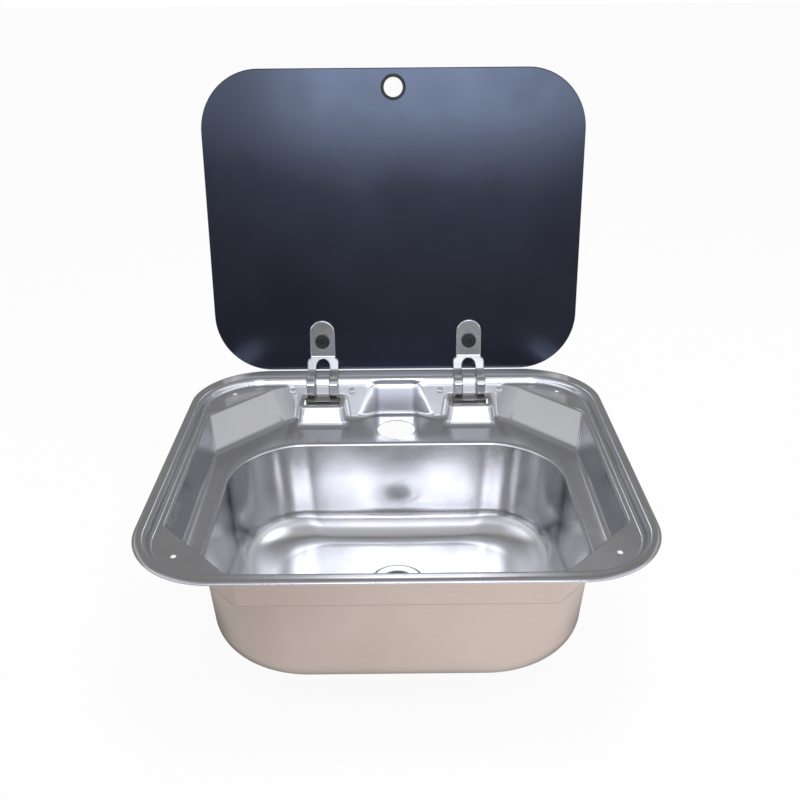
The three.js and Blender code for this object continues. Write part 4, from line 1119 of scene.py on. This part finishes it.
def sky():
    """White to the camera. To everything else it is a dim room with a window in front."""
    world = bpy.data.worlds.new("studio")
    bpy.context.scene.world = world
    world.use_nodes = True
    graph = Graph(world.node_tree)
    x, y, up = graph.axes("Generated")
    least = 0.02
    ahead = graph.math("MAXIMUM", graph.product(y, -1.0), least)
    sides = graph.band(graph.math("DIVIDE", x, ahead), *PANE)
    sides = graph.product(sides, graph.step(y, -0.02, -0.10))
    sides = graph.step(sides, 0.0, 1.0, OUTSIDE_PANE, 1.0)
    pane = graph.product(window_profile(graph, up), sides, graph.step(y, 0.25, -0.15))
    behind = graph.math("DIVIDE", x, graph.math("MAXIMUM", y, least))
    behind = graph.product(graph.band(behind, *BACK_PANE), graph.step(y, 0.05, 0.3))
    behind = graph.product(behind, graph.band(up, *BACK_HEIGHTS))
    beside = graph.step(graph.math("ABSOLUTE", x), 0.42, 0.62)
    beside = graph.product(beside, graph.band(up, *SIDE_HEIGHTS))
    light = graph.total(
        graph.tinted(pane, WINDOW_TINT),
        graph.tinted(graph.product(beside, SIDE_GLOW), SIDE_TINT),
        graph.tinted(graph.product(behind, BACK_GLOW), BACK_TINT),
        graph.tinted(AMBIENT, AMBIENT_TINT),
    )
    path = graph.nodes.new("ShaderNodeLightPath").outputs
    seen = graph.mix(path["Is Camera Ray"], light, (1, 1, 1))
    graph.feed(seen, graph.nodes["Background"].inputs["Color"])


def camera():
    """The photograph's view: 27 degrees down from 0.8 m away."""
    image = 800
    focal, middle_y = 883.4, 409.2  # in the image's pixels
    pitch, yaw, roll = (math.radians(angle) for angle in (27.24, 0.17, 0.44))
    data = bpy.data.cameras.new("camera")
    data.lens = data.sensor_width * focal / image
    data.shift_y = (middle_y - image / 2) / image
    made = linked("camera", data)
    turn = Matrix.Rotation(-yaw, 4, "Z") @ Matrix.Rotation(math.radians(90) - pitch, 4, "X")
    place = Vector((1.6, -698.4, 407.6)) * MM
    made.matrix_world = shift(*place) @ turn @ Matrix.Rotation(-roll, 4, "Z")
    bpy.context.scene.camera = made


def lamp(name, size, place, aim, power, glossy=True, colour=(1, 1, 1), spread=180):
    """A soft box that no camera sees. Size and places are in metres, power in watts."""
    light = bpy.data.lights.new(name, "AREA")
    light.shape = "RECTANGLE"
    light.size, light.size_y = size
    light.energy = power
    light.color = colour
    light.spread = math.radians(spread)
    made = linked(name, light)
    made.location = place
    made.rotation_euler = (Vector(aim) - Vector(place)).to_track_quat("-Z", "Y").to_euler()
    made.visible_glossy = glossy
    made.visible_camera = False


def beam(name, place, size, fall, turn, power, spread):
    """A soft box that shines only about one way, in millimetres and milliwatts.

    Its light falls at an angle below the horizon, turned from straight back towards the right.
    """
    fall, turn = math.radians(fall), math.radians(turn)
    level_share = math.cos(fall)
    way = Vector((math.sin(turn) * level_share, math.cos(turn) * level_share, -math.sin(fall)))
    start = Vector(place) * MM
    size = (size[0] * MM, size[1] * MM)
    lamp(name, size, start, start + way, power * MM, colour=LAMP_TINT, spread=spread)


def lamps():
    """One big key light, and soft boxes where the drawn steel mirrors what is round the sink."""
    lamp("key", (1.6, 1.6), (0.3, -0.5, 2.2), (0, 0, 0), 30, glossy=False)
    # The window that the bowl's back wall shows by way of the floor and the front wall.
    for side in (-1, 1):
        beam("wall_side", (side * 93, -101, -34), (116, 46), 32.3, 180, 8.0, 50)
        beam("wall_gap", (0, -101, -34), (70, 46), 32.3, 180 + side * 27, 2.2, 34)
    beam("wall_middle", (0, -118, -34), (70, 20), 32.3, 180, 2.6, 50)
    # The same window as the bowl's floor shows it, by way of the back wall.
    beam("floor_middle", (0, 56, -43), (260, 56), 47.5, 0, 1.8, 22)
    for side in (-1, 1):
        beam("floor_side", (side * 100, 56, -43), (70, 56), 47.5, side * 24, 1.0, 30)
    # Light on the deck round the tap hole, by way of the niche, and on the fronts of the bosses.
    beam("deck_glow", (0, 129, 10), (60, 30), 49, 0, 2.3, 30)
    for x in HINGES.values():
        beam("boss_glow", (1.08 * x, 60, -27), (50, 22), 2.4, 0, 0.16, 22)
    # Light along the bowl's side fillets, stronger at the left, and on the rim before the lid.
    beam("left_glow", (-60, 0, -34), (150, 50), 45, -90, 3.5, 50)
    beam("right_glow", (60, 0, -34), (150, 50), 45, 90, 1.2, 50)
    beam("rim_glow", (0, 181, 12), (360, 20), 26, 180, 0.3, 40)
    # The open sky above the bowl, and a sheen before the lid for the edges that mirror it.
    lamp("bowl_sky", (0.21, 0.23), (0.012, -0.037, -0.034), (0.012, -0.037, -1), 0.035)
    lamp("lid_sheen", (0.38, 0.29), (0, 0.203, 0.152), (0, -0.785, 0.302), 0.085)


floor()
sky()
camera()
lamps()
bpy.context.scene.view_settings.view_transform = "Standard"
